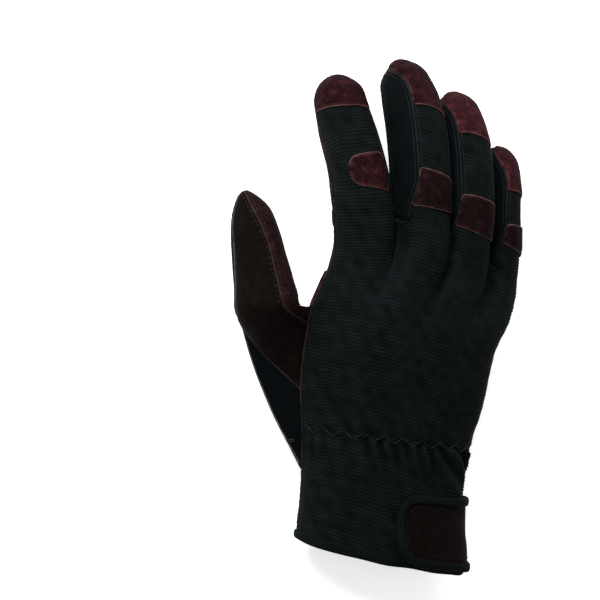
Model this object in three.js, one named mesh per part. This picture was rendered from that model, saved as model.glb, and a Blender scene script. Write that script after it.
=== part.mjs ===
// Right-hand work glove, filled out as on a hand and lying palm down.
// Millimetres. X runs to the little finger, Y to the fingertips, Z up through the back of the hand.
// One thin skin, a hand with four fingers and a thumb, is cut along its seams into cloth and leather
// panels. Caps, patches, the hem binding and the wrist tab lie on top of the skin.
import * as THREE from "three";

const SKIN = 1.3;
// How far each panel's edges stand back from its seams, further where seams meet in a sharp fold.
const HAND_SETBACK = 0.32;
const THUMB_SETBACK = 0.7;
const GUSSET_SETBACK = 0.75;
const FLOOR_UNDER_HAND = 1.45;
const DIGIT_SQUARENESS = 2.5;
const HAND_SQUARENESS = 2.25;
const TIP_SQUARENESS = 2.2;

// Heights on the hand, v, run from 0 at the hem to 1 at the roots of the fingers.
const THUMB_HOLE_BOTTOM = 0.2;
const THUMB_HOLE_TOP = 0.7;
const THUMB_HOLE_REACH = 66;
const THUMB_HOLE_FULLNESS = 0.75;
const KNUCKLE_START = 0.66;
const ROWS_UNDER_HOLE = 3;
const ROWS_BESIDE_HOLE = 10;
const ROWS_OVER_HOLE = 5;
const DIGIT_ROWS = 7;
const TIP_ROWS = 4;
const THUMB_ROOT_ROWS = 6;

// Angles go round the hand and round each digit, in degrees: 0 little-finger side, 90 back, 180 thumb side.
const THUMB_SIDE_SEAM = 186;
const LITTLE_SIDE_SEAM = -12;
const GUSSET_HALF_ANGLE = 40;
const GUSSET_TAPER = 22;
const GUSSET_END = 5;
const GUSSET_FULLNESS = 0.6;
const WEB_REACH = 2.5;

const HAND_COLUMNS = ["v", "y", "drop", "bend", "x", "z", "halfWidth", "halfDepth"];
const HAND = [
  [0.00, 20.4, 18.5, 1.0, -10.4, 20.9, 42.4, 19.6],
  [0.15, 43.0, 15.5, 1.0, -9.2, 20.6, 41.2, 19.6],
  [0.33, 72.0, 14.5, 1.1, -6.8, 21.0, 43.0, 20.2],
  [0.50, 98.0, 18.0, 1.4, -3.0, 22.6, 46.0, 22.0],
  [0.68, 127.0, 23.0, 1.7, 1.0, 24.6, 46.6, 23.4],
  [0.85, 152.0, 30.0, 2.0, 6.8, 26.6, 46.2, 22.2],
  [1.00, 174.0, 33.0, 2.2, 12.8, 27.4, 46.6, 19.4],
];

const DIGIT_COLUMNS = ["x", "y", "z", "halfWidth", "halfDepth", "roll"];
const INDEX = [
  [-20.2, 172.5, 25.6, 13.8, 13.6, 2],
  [-22.8, 190.0, 24.6, 13.6, 13.3, 3],
  [-25.2, 206.0, 20.6, 13.1, 12.8, 4],
  [-27.4, 220.0, 15.2, 12.4, 12.0, 5],
  [-29.2, 231.0, 11.6, 11.3, 10.8, 6],
  [-30.2, 240.5, 8.8, 10.0, 9.0, 6],
];
const MIDDLE = [
  [8.2, 168.0, 32.6, 12.9, 13.8, 14],
  [7.6, 186.0, 32.0, 13.3, 13.8, 15],
  [7.0, 203.0, 30.0, 13.5, 13.5, 16],
  [6.6, 218.0, 25.6, 13.4, 12.9, 17],
  [6.2, 231.0, 18.6, 12.7, 11.8, 18],
  [5.4, 241.0, 12.2, 11.0, 10.4, 18],
  [4.4, 249.5, 7.8, 9.0, 8.8, 18],
];
const RING = [
  [33.6, 157.0, 27.4, 11.8, 13.0, 14.5],
  [33.6, 173.0, 28.2, 12.1, 13.0, 15],
  [33.4, 189.0, 26.6, 12.2, 12.8, 15],
  [33.2, 204.0, 22.6, 12.0, 12.3, 16],
  [32.9, 216.0, 16.4, 11.6, 11.4, 17],
  [32.6, 226.0, 10.8, 10.4, 10.0, 18],
  [32.2, 234.0, 7.6, 8.8, 8.6, 18],
];
const LITTLE = [
  [54.0, 144.0, 14.8, 10.9, 11.8, 40],
  [54.2, 158.0, 15.8, 10.9, 11.6, 41],
  [54.4, 171.0, 15.2, 10.8, 11.2, 42],
  [54.4, 183.0, 12.8, 10.6, 10.8, 43],
  [54.4, 194.0, 10.0, 9.8, 9.8, 46],
  [54.4, 205.0, 8.0, 8.6, 8.4, 48],
];
const THUMB = [
  [-68.6, 134.0, 18.8, 15.4, 15.4, -20],
  [-70.8, 144.0, 16.8, 14.1, 14.2, -20],
  [-73.0, 154.0, 14.8, 13.0, 13.2, -20],
  [-74.8, 164.0, 13.2, 12.1, 12.1, -20],
  [-76.2, 174.0, 11.6, 10.6, 10.8, -20],
  [-77.0, 184.8, 9.6, 8.0, 8.6, -20],
];

// Each finger with its rounded end and where its back and front meet the hand, as angles on the hand.
// The slant is how far the root's edge lies forward on the little-finger side of the digit.
const FINGER_COLUMNS = [
  "name", "rows", "tip", "slant", "backFrom", "backTo", "palmFrom", "palmTo", "backSegs", "palmSegs",
];
const FINGERS = [
  ["index", INDEX, 11, -1.0, 186, 119, 186, 241, 6, 5],
  ["middle", MIDDLE, 12, -4.5, 111, 87, 249, 272, 5, 4],
  ["ring", RING, 11, -5.0, 83, 60, 276, 300, 5, 4],
  ["little", LITTLE, 10, -4.5, 53, -12, 304, 348, 6, 4],
];
const INDEX_SEAM = 190;
const LITTLE_SEAM = -10;
const THUMB_TIP = 13;

// Seams of the thumb: each starts at a station of the hole's edge, counted from the crotch down the back,
// and runs up the tube at one angle until it turns to another near the tip.
const THUMB_SEAM_COLUMNS = ["station", "onTube", "atTip"];
const THUMB_SEAMS = [
  [1, 56, 82],
  [5, 200, 214],
  [13, 254, 242],
];
const THUMB_TURN_END = 5;
const THUMB_TURN = 26;

// Pieces that lie on the skin.
const LAID_GAP = 0.45;
const LAID_THICKNESS = 1.0;
const CAP_COLUMNS = ["finger", "length", "backEdge", "frontEdge", "slant"];
const CAPS = [
  ["index", 18, 6, 3, 3],
  ["middle", 24, 3, 3, 6],
  ["ring", 22, 3, 3, 5],
  ["little", 22, 3, 24, 3],
];
const CAP_END = 0.8;
const CAP_ROWS = [0, 0.18, 0.37, 0.55, 0.72, 0.86, 0.95, 1];
const KNUCKLE_COLUMNS = ["finger", "centre", "halfLength", "from", "to", "round"];
const KNUCKLES = [
  ["index", 21, 9.0, 45, 126, 0.5],
  ["middle", 19.5, 10.0, 45, 136, 0.2],
  ["ring", 19, 9.5, 45, 134, 0.2],
  ["little", 16, 9.0, 30, 132, 0.2],
];
const PALM_PATCH = { bottom: 0.5, top: 0.82, topRise: 0.06, gap: 0.68, thickness: 0.75 };
const CROTCH_PATCH = { from: 13.8, to: 17.2, start: 0.4, end: 0.8, gap: 0.9 };

const BINDING = { height: 5, cloth: 0.9, gap: 0.3, sides: 44 };
const WRIST_PER_HEIGHT = 150;
const TAB = { tipAngle: 90, length: 72, halfHeight: 14.4, middle: 0.108, squareness: 2.6, rise: 1.9 };
const TAB_LEATHER = 1.3;
const TAB_CLOTH = 1.8;
const TAB_EDGE = 3.4;

const FINISHES = {
  ribbed: { color: 0x12171a, roughness: 0.85 },
  smooth: { color: 0x0b0f10, roughness: 0.7 },
  maroon: { color: 0x2a1919, roughness: 0.8 },
  brown: { color: 0x171210, roughness: 0.75 },
  red: { color: 0x3c2022, roughness: 0.8 },
};

const degrees = THREE.MathUtils.degToRad;
const lerp = THREE.MathUtils.lerp;
const smooth = (x) => THREE.MathUtils.smoothstep(x, 0, 1);
const steps = (count) => Array.from({ length: count + 1 }, (_, i) => i / count);

// A smooth curve through the rows of a table: each column by cubic pieces with average slopes.
function tableAt(knots, rows, at) {
  let i = 0;
  while (i < knots.length - 2 && at > knots[i + 1]) {
    i += 1;
  }
  const width = knots[i + 1] - knots[i];
  const t = (at - knots[i]) / width;
  const slope = (k, column) => {
    const lo = Math.max(k - 1, 0);
    const hi = Math.min(k + 1, knots.length - 1);
    return (rows[hi][column] - rows[lo][column]) / (knots[hi] - knots[lo]);
  };
  return rows[i].map((value, column) => {
    const next = rows[i + 1][column];
    const m0 = slope(i, column) * width;
    const m1 = slope(i + 1, column) * width;
    const a = 2 * value + m0 - 2 * next + m1;
    const b = 3 * next - 3 * value - 2 * m0 - m1;
    return ((a * t + b) * t + m0) * t + value;
  });
}

function named(columns, values) {
  return Object.fromEntries(columns.map((name, i) => [name, values[i]]));
}

// A point on a rounded box of unit half sizes.
function roundedSection(angle, squareness) {
  const c = Math.cos(degrees(angle));
  const s = Math.sin(degrees(angle));
  const power = 2 / squareness;
  return [Math.sign(c) * Math.abs(c) ** power, Math.sign(s) * Math.abs(s) ** power];
}

// A finger or the thumb: rounded sections along a curved centre line, closed by a rounded tip.
class Digit {
  constructor(rows, tip, slant = 0) {
    this.rows = rows;
    this.tip = tip;
    this.slant = slant;
    this.knots = [0];
    rows.slice(1).forEach((row, i) => {
      const [x, y, z] = rows[i];
      this.knots.push(this.knots[i] + Math.hypot(row[0] - x, row[1] - y, row[2] - z));
    });
    this.length = this.knots.at(-1);
  }

  centre(s) {
    const [x, y, z] = tableAt(this.knots, this.rows, THREE.MathUtils.clamp(s, 0, this.length));
    return new THREE.Vector3(x, y, z);
  }

  direction(s) {
    const reach = 0.5;
    return this.centre(s + reach).sub(this.centre(s - reach)).normalize();
  }

  point(s, angle) {
    const inside = Math.max(s, 0);
    const row = named(DIGIT_COLUMNS, tableAt(this.knots, this.rows, Math.min(inside, this.length)));
    const along = this.direction(inside);
    const roll = degrees(row.roll);
    const back = new THREE.Vector3(Math.sin(roll), 0, Math.cos(roll));
    back.addScaledVector(along, -back.dot(along)).normalize();
    const side = new THREE.Vector3().crossVectors(along, back);
    const intoTip = THREE.MathUtils.clamp((s - this.length + this.tip) / this.tip, 0, 1);
    const narrowing = Math.sqrt(1 - intoTip ** TIP_SQUARENESS);
    const [across, up] = roundedSection(angle, DIGIT_SQUARENESS);
    return this.centre(inside)
      .addScaledVector(along, Math.min(s, 0))
      .addScaledVector(side, narrowing * row.halfWidth * across)
      .addScaledVector(back, narrowing * row.halfDepth * up);
  }

  // A point on a row that starts at the slanted root and straightens on its way to the tip.
  onRow(s, angle) {
    const [across] = roundedSection(angle, DIGIT_SQUARENESS);
    const left = 1 - THREE.MathUtils.clamp(s / this.length, 0, 1);
    return this.point(s + this.slant * across * left ** 2, angle);
  }

  // Rows from the root to the tip, closer together where the tip rounds off.
  stations(rows, tipRows) {
    const straight = this.length - this.tip;
    const body = steps(rows).map((k) => k * straight);
    const cap = steps(tipRows).slice(1).map((k) => straight + this.tip * Math.sin(k * Math.PI / 2));
    return [...body, ...cap];
  }
}

const digits = Object.fromEntries(FINGERS.map(([name, rows, tip, slant]) => (
  [name, new Digit(rows, tip, slant)]
)));
const thumb = new Digit(THUMB, THUMB_TIP);
const fingers = FINGERS.map((values) => named(FINGER_COLUMNS, values));

// The hand as one smooth loft, with rows that drop towards the little finger.
function handLoft(v, angle) {
  const row = named(HAND_COLUMNS, tableAt(HAND.map((r) => r[0]), HAND, v));
  const [across, up] = roundedSection(angle, HAND_SQUARENESS);
  const toLittle = THREE.MathUtils.clamp((1 + across) / 2, 0, 1);
  return new THREE.Vector3(
    row.x + row.halfWidth * across,
    row.y - row.drop * toLittle ** row.bend,
    row.z + row.halfDepth * up,
  );
}

// The front edge of the thumb's hole bays into the palm between the hole's two ends.
function bay(v) {
  const along = (v - THUMB_HOLE_BOTTOM) / (THUMB_HOLE_TOP - THUMB_HOLE_BOTTOM);
  const inside = THREE.MathUtils.clamp(along, 0, 1);
  return THUMB_SIDE_SEAM + THUMB_HOLE_REACH * Math.sin(inside * Math.PI) ** THUMB_HOLE_FULLNESS;
}

function palmAngle(v, angle) {
  const full = LITTLE_SIDE_SEAM + 360 - THUMB_SIDE_SEAM;
  const share = (angle - THUMB_SIDE_SEAM) / full;
  return lerp(bay(v), LITTLE_SIDE_SEAM + 360, share);
}

// The lowest that the skin may hang: flat where the hand rests, with room for what lies under it.
function rested(point, floor) {
  point.z = Math.max(point.z, floor);
  return point;
}

// The hand runs out into the four fingers: over the knuckles each column turns into its digit's tube.
function handPoint(v, angle, digit, digitAngle) {
  const loft = handLoft(v, angle);
  const back = loft.y - handLoft(1, angle).y;
  const tube = digit.onRow(back, digitAngle);
  const share = smooth((v - KNUCKLE_START) / (1 - KNUCKLE_START));
  return rested(loft.lerp(tube, share), FLOOR_UNDER_HAND * (1 - share));
}

// Half the angle that a side gusset spans, narrowing to nothing before the tip.
function gussetHalf(digit, s) {
  const left = digit.length - GUSSET_END - s;
  return GUSSET_HALF_ANGLE * smooth(left / GUSSET_TAPER) ** GUSSET_FULLNESS;
}

// The skin: a mesh of four-sided faces, each marked with the panel that it belongs to.
class Skin {
  constructor() {
    this.points = [];
    this.faces = [];
    this.places = new Map();
  }

  vertex(point) {
    const key = point.toArray().map((value) => Math.round(value * 500)).join();
    if (!this.places.has(key)) {
      this.places.set(key, this.points.length);
      this.points.push(point);
    }
    return this.places.get(key);
  }

  // A grid of rows of points, with a panel's name for each column.
  addGrid(rows, panels) {
    const grid = rows.map((row) => row.map((point) => this.vertex(point)));
    for (let i = 0; i + 1 < grid.length; i += 1) {
      for (let j = 0; j + 1 < grid[i].length; j += 1) {
        const corners = [grid[i][j], grid[i][j + 1], grid[i + 1][j + 1], grid[i + 1][j]];
        const loop = corners.filter((corner, k) => corner !== corners[(k + 3) % 4]);
        if (new Set(loop).size >= 3) {
          this.faces.push({ loop, panel: panels[j] });
        }
      }
    }
  }

  normals() {
    const sums = this.points.map(() => new THREE.Vector3());
    this.faces.forEach(({ loop }) => {
      const normal = faceNormal(loop.map((k) => this.points[k]));
      loop.forEach((k) => sums[k].add(normal));
    });
    return sums.map((sum) => sum.normalize());
  }

  // The faces of one panel as a closed wall, its edges drawn back from the seams.
  panel(name, setback, inward) {
    const faces = this.faces.filter((face) => face.panel === name);
    const setbacks = edgeSetbacks(faces, this.points, setback);
    const outer = this.points.map((point, k) => shifted(point, setbacks.get(k)));
    const under = this.points.map((point, k) => shifted(inward[k], setbacks.get(k)));
    const triangles = [];
    faces.forEach(({ loop }) => {
      fan(loop, outer).forEach(([a, b, c]) => {
        triangles.push([outer[a], outer[b], outer[c]]);
        triangles.push([under[a], under[c], under[b]]);
      });
    });
    borderEdges(faces).forEach(([a, b]) => {
      triangles.push([outer[b], outer[a], under[a]]);
      triangles.push([outer[b], under[a], under[b]]);
    });
    return triangles;
  }
}

function faceNormal(corners) {
  const first = corners[2].clone().sub(corners[0]);
  const second = corners.at(-1).clone().sub(corners[1]);
  return corners.length === 4 ? first.cross(second) : corners[1].clone().sub(corners[0]).cross(first);
}

// A four-sided face as two triangles, cut across its shorter way.
function fan(loop, points) {
  if (loop.length === 3) {
    return [loop];
  }
  const [a, b, c, d] = loop;
  const shorter = points[a].distanceTo(points[c]) <= points[b].distanceTo(points[d]);
  return shorter ? [[a, b, c], [a, c, d]] : [[a, b, d], [b, c, d]];
}

function borderEdges(faces) {
  const open = new Map();
  faces.forEach(({ loop }) => {
    loop.forEach((a, k) => {
      const b = loop[(k + 1) % loop.length];
      if (!open.delete(`${b},${a}`)) {
        open.set(`${a},${b}`, [a, b]);
      }
    });
  });
  return [...open.values()];
}

// How far each border corner moves, so that both edges that meet there stand back alike.
function edgeSetbacks(faces, points, setback) {
  const inwards = new Map();
  const border = new Set(borderEdges(faces).map((edge) => edge.join()));
  faces.forEach(({ loop }) => {
    const normal = faceNormal(loop.map((k) => points[k])).normalize();
    loop.forEach((a, k) => {
      const b = loop[(k + 1) % loop.length];
      if (border.has(`${a},${b}`)) {
        const inward = normal.clone().cross(points[b].clone().sub(points[a])).normalize();
        [a, b].forEach((corner) => inwards.set(corner, [...(inwards.get(corner) ?? []), inward]));
      }
    });
  });
  const widest = 2.5;
  return new Map([...inwards].map(([corner, list]) => {
    const sum = list.reduce((total, one) => total.add(one), new THREE.Vector3());
    const spread = Math.max(sum.lengthSq() / list.length, list.length / widest);
    return [corner, sum.multiplyScalar(setback / spread)];
  }));
}

function shifted(point, move) {
  return move ? point.clone().add(move) : point;
}

// Angles of one finger's columns at a row: its back from the thumb side, and its front on the way back.
function digitColumns(finger, s) {
  const half = gussetHalf(digits[finger.name], s);
  const backFrom = finger === fingers[0] ? INDEX_SEAM : 180 - half;
  const palmFrom = finger === fingers[0] ? INDEX_SEAM : 180 + half;
  const backTo = finger === fingers.at(-1) ? LITTLE_SEAM : half;
  const palmTo = 360 + (finger === fingers.at(-1) ? LITTLE_SEAM : -half);
  const back = steps(finger.backSegs).map((k) => lerp(backFrom, backTo, k));
  const palm = steps(finger.palmSegs).map((k) => lerp(palmTo, palmFrom, k));
  return { back, palm };
}

// Heights of the skin's rows, closer together beside the thumb's hole.
const HAND_HEIGHTS = [
  ...steps(ROWS_UNDER_HOLE).map((k) => k * THUMB_HOLE_BOTTOM),
  ...steps(ROWS_BESIDE_HOLE).slice(1).map((k) => lerp(THUMB_HOLE_BOTTOM, THUMB_HOLE_TOP, k)),
  ...steps(ROWS_OVER_HOLE).slice(1).map((k) => lerp(THUMB_HOLE_TOP, 1, k)),
];

// Columns of the hand's back or palm from the thumb side, each with the place on a digit that it runs to.
function handColumns(side) {
  return fingers.flatMap((finger) => {
    const { back, palm } = digitColumns(finger, 0);
    const angles = side === "back" ? back : palm.toReversed();
    const [from, to] = [finger[`${side}From`], finger[`${side}To`]];
    return angles.map((digitAngle, i) => ({
      digit: digits[finger.name],
      digitAngle,
      angle: lerp(from, to, i / (angles.length - 1)),
    }));
  });
}

const backColumns = handColumns("back");
const palmColumns = handColumns("palm");

function buildHand(skin) {
  const back = HAND_HEIGHTS.map((v) => (
    backColumns.map(({ digit, digitAngle, angle }) => handPoint(v, angle, digit, digitAngle))
  ));
  const palm = HAND_HEIGHTS.map((v) => (
    palmColumns.map(({ digit, digitAngle, angle }) => (
      handPoint(v, palmAngle(v, angle), digit, digitAngle)
    )).reverse()
  ));
  skin.addGrid(back, backColumns.map(() => "back_panel"));
  skin.addGrid(palm, palmColumns.map(() => "palm_panel"));
}

function gussetName(side) {
  return `gusset_${fingers[side].name}_${fingers[side + 1].name}`;
}

// A finger's columns once round from its back, with one more along the middle of each side gusset.
function buildFingers(skin) {
  fingers.forEach((finger, order) => {
    const digit = digits[finger.name];
    const first = order === 0;
    const last = order === fingers.length - 1;
    const panels = [
      ...Array(finger.backSegs).fill("back_panel"),
      ...(last ? [] : Array(2).fill(gussetName(order))),
      ...Array(finger.palmSegs).fill("palm_panel"),
      ...(first ? [] : Array(2).fill(gussetName(order - 1))),
    ];
    const grid = digit.stations(DIGIT_ROWS, TIP_ROWS).map((s) => {
      const { back, palm } = digitColumns(finger, s);
      const front = last ? palm.slice(1) : [0, ...palm];
      const closing = first ? [] : [180, back[0]];
      return [...back, ...front, ...closing].map((angle) => {
        const inGusset = angle === 0 || angle === 180;
        return rested(digit.onRow(inGusset ? Math.max(s, WEB_REACH) : s, angle), 0);
      });
    });
    skin.addGrid(grid, panels);
  });
}

// Between two fingers the gusset runs round the crotch as a narrow web.
function buildWebs(skin) {
  fingers.slice(1).forEach((finger, order) => {
    const left = digits[fingers[order].name];
    const right = digits[finger.name];
    const half = gussetHalf(left, 0);
    const rows = [half, 0, -half].map((turn) => {
      const s = turn === 0 ? WEB_REACH : 0;
      return [rested(left.onRow(s, turn), 0), rested(right.onRow(s, 180 - turn), 0)];
    });
    skin.addGrid(rows, [gussetName(order)]);
  });
}

// The edge of the thumb's hole, from the crotch down the back seam and up the bay in the palm.
function holeEdge(turn) {
  const span = THUMB_HOLE_TOP - THUMB_HOLE_BOTTOM;
  const index = digits.index;
  if (turn <= 180) {
    const v = THUMB_HOLE_TOP - span * turn / 180;
    return handPoint(v, THUMB_SIDE_SEAM, index, INDEX_SEAM);
  }
  const v = THUMB_HOLE_BOTTOM + span * (turn - 180) / 180;
  return handPoint(v, bay(v), index, INDEX_SEAM);
}

// The thumb's columns: where each leaves the hole's edge and its angles on the tube and at the tip.
function thumbTurns() {
  const stations = 2 * ROWS_BESIDE_HOLE;
  const seams = THUMB_SEAMS.map((values) => named(THUMB_SEAM_COLUMNS, values));
  const [first] = seams;
  const closing = {
    station: first.station + stations,
    onTube: first.onTube + 360,
    atTip: first.atTip + 360,
  };
  const stops = [...seams, closing];
  return Array.from({ length: stations + 1 }, (_, k) => {
    const station = k + first.station;
    const next = Math.max(1, stops.findIndex((stop) => stop.station >= station));
    const from = stops[next - 1];
    const to = stops[next];
    const share = (station - from.station) / (to.station - from.station);
    return {
      root: (station % stations) * 360 / stations,
      onTube: lerp(from.onTube, to.onTube, share),
      atTip: lerp(from.atTip, to.atTip, share),
      panel: ["thumb_back", "thumb_side", "thumb_front"][next - 1],
    };
  });
}

function tubeAngle(s, turn) {
  const toTurn = thumb.length - THUMB_TURN_END - THUMB_TURN;
  return lerp(turn.onTube, turn.atTip, smooth((s - toTurn) / THUMB_TURN));
}

// The thumb's root spreads from the hole's edge to the tube and leaves the hand in its own line.
function thumbRoot(share, root, tube) {
  const from = holeEdge(root);
  const to = thumb.point(0, tube);
  const chord = to.clone().sub(from);
  const arrive = thumb.direction(0).multiplyScalar(chord.length());
  const t = share;
  const bend = (t ** 3 - 2 * t ** 2 + t);
  const turnIn = (t ** 3 - t ** 2);
  const point = from.addScaledVector(chord, 3 * t ** 2 - 2 * t ** 3 + bend).addScaledVector(arrive, turnIn);
  return rested(point, FLOOR_UNDER_HAND * (1 - t));
}

function buildThumb(skin) {
  const turns = thumbTurns();
  const root = steps(THUMB_ROOT_ROWS).map((t) => turns.map((turn) => thumbRoot(t, turn.root, turn.onTube)));
  const tube = thumb.stations(DIGIT_ROWS - 2, TIP_ROWS).slice(1).map((s) => (
    turns.map((turn) => rested(thumb.point(s, tubeAngle(s, turn)), 0))
  ));
  skin.addGrid([...root, ...tube].reverse(), turns.slice(1).map((turn) => turn.panel));
}

function geometryOf(triangles) {
  const positions = triangles.flat().flatMap((point) => point.toArray());
  const geometry = new THREE.BufferGeometry();
  geometry.setAttribute("position", new THREE.Float32BufferAttribute(positions, 3));
  return geometry;
}

function pieceMesh(name, triangles, finish) {
  const material = new THREE.MeshStandardMaterial({ ...finish, metalness: 0 });
  const mesh = new THREE.Mesh(geometryOf(triangles), material);
  mesh.name = name;
  return mesh;
}

// The outward direction of a surface that is given by two parameters.
function outward(surface, a, b, sign) {
  const step = 0.01;
  const alongA = surface(a + step, b).sub(surface(a - step, b));
  const alongB = surface(a, b + step).sub(surface(a, b - step));
  return alongA.cross(alongB).normalize().multiplyScalar(sign);
}

// A sheet laid on a surface: rows of places, each a point with its outward direction.
function laidSheet(rows, gap, thickness) {
  const sheet = new Skin();
  const points = rows.map((row) => row.map(({ point }) => point));
  sheet.addGrid(points, Array(rows[0].length).fill("sheet"));
  const directions = new Map();
  rows.flat().forEach(({ point, normal }) => directions.set(sheet.vertex(point), normal));
  const lifted = (height) => sheet.points.map((point, k) => (
    point.clone().addScaledVector(directions.get(k), height)
  ));
  const under = lifted(gap);
  sheet.points = lifted(gap + thickness);
  sheet.points.forEach((point, k) => {
    point.z = Math.max(point.z, 0);
    under[k].z = Math.max(under[k].z, thickness);
  });
  return sheet.panel("sheet", 0, under);
}

function onDigit(digit, s, angle) {
  const surface = (a, b) => digit.point(a, b);
  return { point: digit.point(s, angle), normal: outward(surface, s, angle, 1) };
}

function capTriangles(values) {
  const cap = named(CAP_COLUMNS, values);
  const digit = digits[cap.finger];
  const finger = fingers.find(({ name }) => name === cap.finger);
  const columns = finger.backSegs + 1;
  const end = digit.length - CAP_END;
  const rows = CAP_ROWS.map((k) => (
    steps(columns).map((q) => {
      const start = end - cap.length + cap.slant * q;
      const s = lerp(start, end, k);
      const { back } = digitColumns(finger, s);
      return onDigit(digit, s, lerp(back[0] - cap.backEdge, back.at(-1) + cap.frontEdge, q));
    })
  ));
  return laidSheet(rows, LAID_GAP, LAID_THICKNESS);
}

// A knuckle patch runs from the seam on the little-finger side to a rounded end.
function knuckleTriangles(values) {
  const patch = named(KNUCKLE_COLUMNS, values);
  const digit = digits[patch.finger];
  const straight = 1 - patch.round;
  const across = [0, straight / 3, straight * 2 / 3, straight];
  const turned = [30, 60].map((angle) => straight + patch.round * Math.sin(degrees(angle)));
  const rows = [...across, ...turned, 1].map((q) => {
    const intoRound = Math.max(0, (q - straight) / patch.round);
    const half = q === 1 ? 0 : patch.halfLength * Math.sqrt(1 - intoRound ** 2);
    return steps(4).map((k) => (
      onDigit(digit, patch.centre + half * (2 * k - 1), lerp(patch.from, patch.to, q))
    ));
  });
  return laidSheet(rows, LAID_GAP, LAID_THICKNESS);
}

// The palm patch spans the palm from the thumb's seam to just short of the little-finger side.
function palmPatchTriangles() {
  const { bottom, top, topRise, gap, thickness } = PALM_PATCH;
  const columns = palmColumns.slice(1, -1);
  const near = 1e-6;
  const heights = HAND_HEIGHTS.filter((v) => v > bottom - near && v < top + near);
  const rows = [...heights, top + topRise].map((height) => (
    columns.map(({ digit, digitAngle, angle }, i) => {
      const v = Math.min(height, top + topRise * i / (columns.length - 1));
      const at = palmAngle(v, angle);
      const surface = (a, b) => handPoint(a, b, digit, digitAngle);
      return { point: handPoint(v, at, digit, digitAngle), normal: outward(surface, v, at, 1) };
    })
  ));
  return laidSheet(rows.map((row) => row.toReversed()), gap, thickness);
}

function onThumbRoot(share, station) {
  const stations = 2 * ROWS_BESIDE_HOLE;
  const [first, , last] = THUMB_SEAMS.map((values) => named(THUMB_SEAM_COLUMNS, values));
  const place = (station - last.station) / (first.station + stations - last.station);
  const tube = lerp(last.onTube, first.onTube + 360, place);
  return thumbRoot(share, station * 360 / stations, tube);
}

// The patch over the thumb's crotch is a rounded tongue on the front of the thumb's root.
function crotchPatchTriangles() {
  const { from, to, start, end, gap } = CROTCH_PATCH;
  const middle = (from + to) / 2;
  const rows = [-1, -0.87, -0.5, 0, 0.5, 0.87, 1].map((across) => {
    const reach = Math.sqrt(1 - across ** 2);
    return steps(5).map((k) => {
      const share = lerp(end, lerp(end, start, reach), k);
      const station = middle + across * (to - from) / 2;
      return { point: onThumbRoot(share, station), normal: outward(onThumbRoot, share, station, 1) };
    });
  });
  return laidSheet(rows.reverse(), gap, LAID_THICKNESS);
}

function onWrist(v, angle) {
  return rested(handLoft(v, angle), FLOOR_UNDER_HAND);
}

// A strip of cloth folded over the hem, inside and out.
function bindingTriangles() {
  const { height, cloth, gap, sides } = BINDING;
  const outer = gap + cloth;
  const inner = -SKIN - gap - cloth;
  const section = [
    [outer, height], [gap, height], [gap, -gap], [-SKIN - gap, -gap],
    [-SKIN - gap, height], [inner, height], [inner, -outer], [outer, -outer],
  ];
  const ring = steps(sides).map((k) => (k * 360) % 360);
  const strip = new Skin();
  strip.addGrid(ring.map((angle) => {
    const edge = onWrist(0, angle);
    const up = onWrist(height / WRIST_PER_HEIGHT, angle).sub(edge).normalize();
    const out = outward(onWrist, 0, angle, 1);
    return [...section, section[0]].map(([across, along]) => (
      rested(edge.clone().addScaledVector(out, across).addScaledVector(up, along), 0)
    ));
  }), Array(section.length).fill("strip"));
  return strip.faces.flatMap(({ loop }) => (
    fan(loop, strip.points).map((corners) => corners.map((k) => strip.points[k]))
  ));
}

// Where the tab's round end lies on the wrist, and the way from it round the little-finger side.
function wristAngles() {
  const list = [{ angle: TAB.tipAngle, distance: 0 }];
  const step = 0.5;
  while (list.at(-1).distance < TAB.length) {
    const { angle, distance } = list.at(-1);
    const walked = onWrist(TAB.middle, angle).distanceTo(onWrist(TAB.middle, angle - step));
    list.push({ angle: angle - step, distance: distance + walked });
  }
  return list;
}

const tabWay = wristAngles();

function onTab(distance, height) {
  const next = Math.max(1, tabWay.findIndex((place) => place.distance >= distance));
  const [from, to] = [tabWay[next - 1], tabWay[next]];
  const share = (distance - from.distance) / (to.distance - from.distance);
  const angle = lerp(from.angle, to.angle, share);
  const v = TAB.middle + height / WRIST_PER_HEIGHT;
  return { point: onWrist(v, angle), normal: outward(onWrist, v, angle, 1) };
}

// Half the tab's height at a distance from its round end, for an outline drawn in by an inset.
function tabHalf(distance, inset) {
  const radius = TAB.halfHeight - inset;
  const intoRound = THREE.MathUtils.clamp(1 - (distance - inset) / radius, 0, 1);
  return radius * (1 - intoRound ** TAB.squareness) ** (1 / TAB.squareness);
}

function tabStations(inset) {
  const radius = TAB.halfHeight - inset;
  const round = [0, 20, 40, 62, 90].map((angle) => inset + radius * (1 - Math.cos(degrees(angle))));
  const start = round.at(-1);
  return [...round, ...steps(11).slice(1).map((k) => lerp(start, TAB.length - 0.5, k))];
}

function tabLeatherTriangles() {
  const inset = TAB_EDGE + 0.3;
  const rows = tabStations(inset).map((distance) => (
    steps(5).map((k) => onTab(distance, tabHalf(distance, inset) * (1 - 2 * k)))
  ));
  return laidSheet(rows, TAB.rise, TAB_LEATHER);
}

function tabBindingTriangles() {
  const outer = tabStations(0);
  const inner = tabStations(TAB_EDGE);
  const place = (list, inset, k, side) => onTab(list[k], side * tabHalf(list[k], inset));
  const along = (side) => outer.map((_, k) => (
    [place(inner, TAB_EDGE, k, side), place(outer, 0, k, side)]
  ));
  const rows = [...along(1).slice(1).reverse(), ...along(-1)];
  return laidSheet(rows, TAB.rise, TAB_CLOTH);
}

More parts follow.
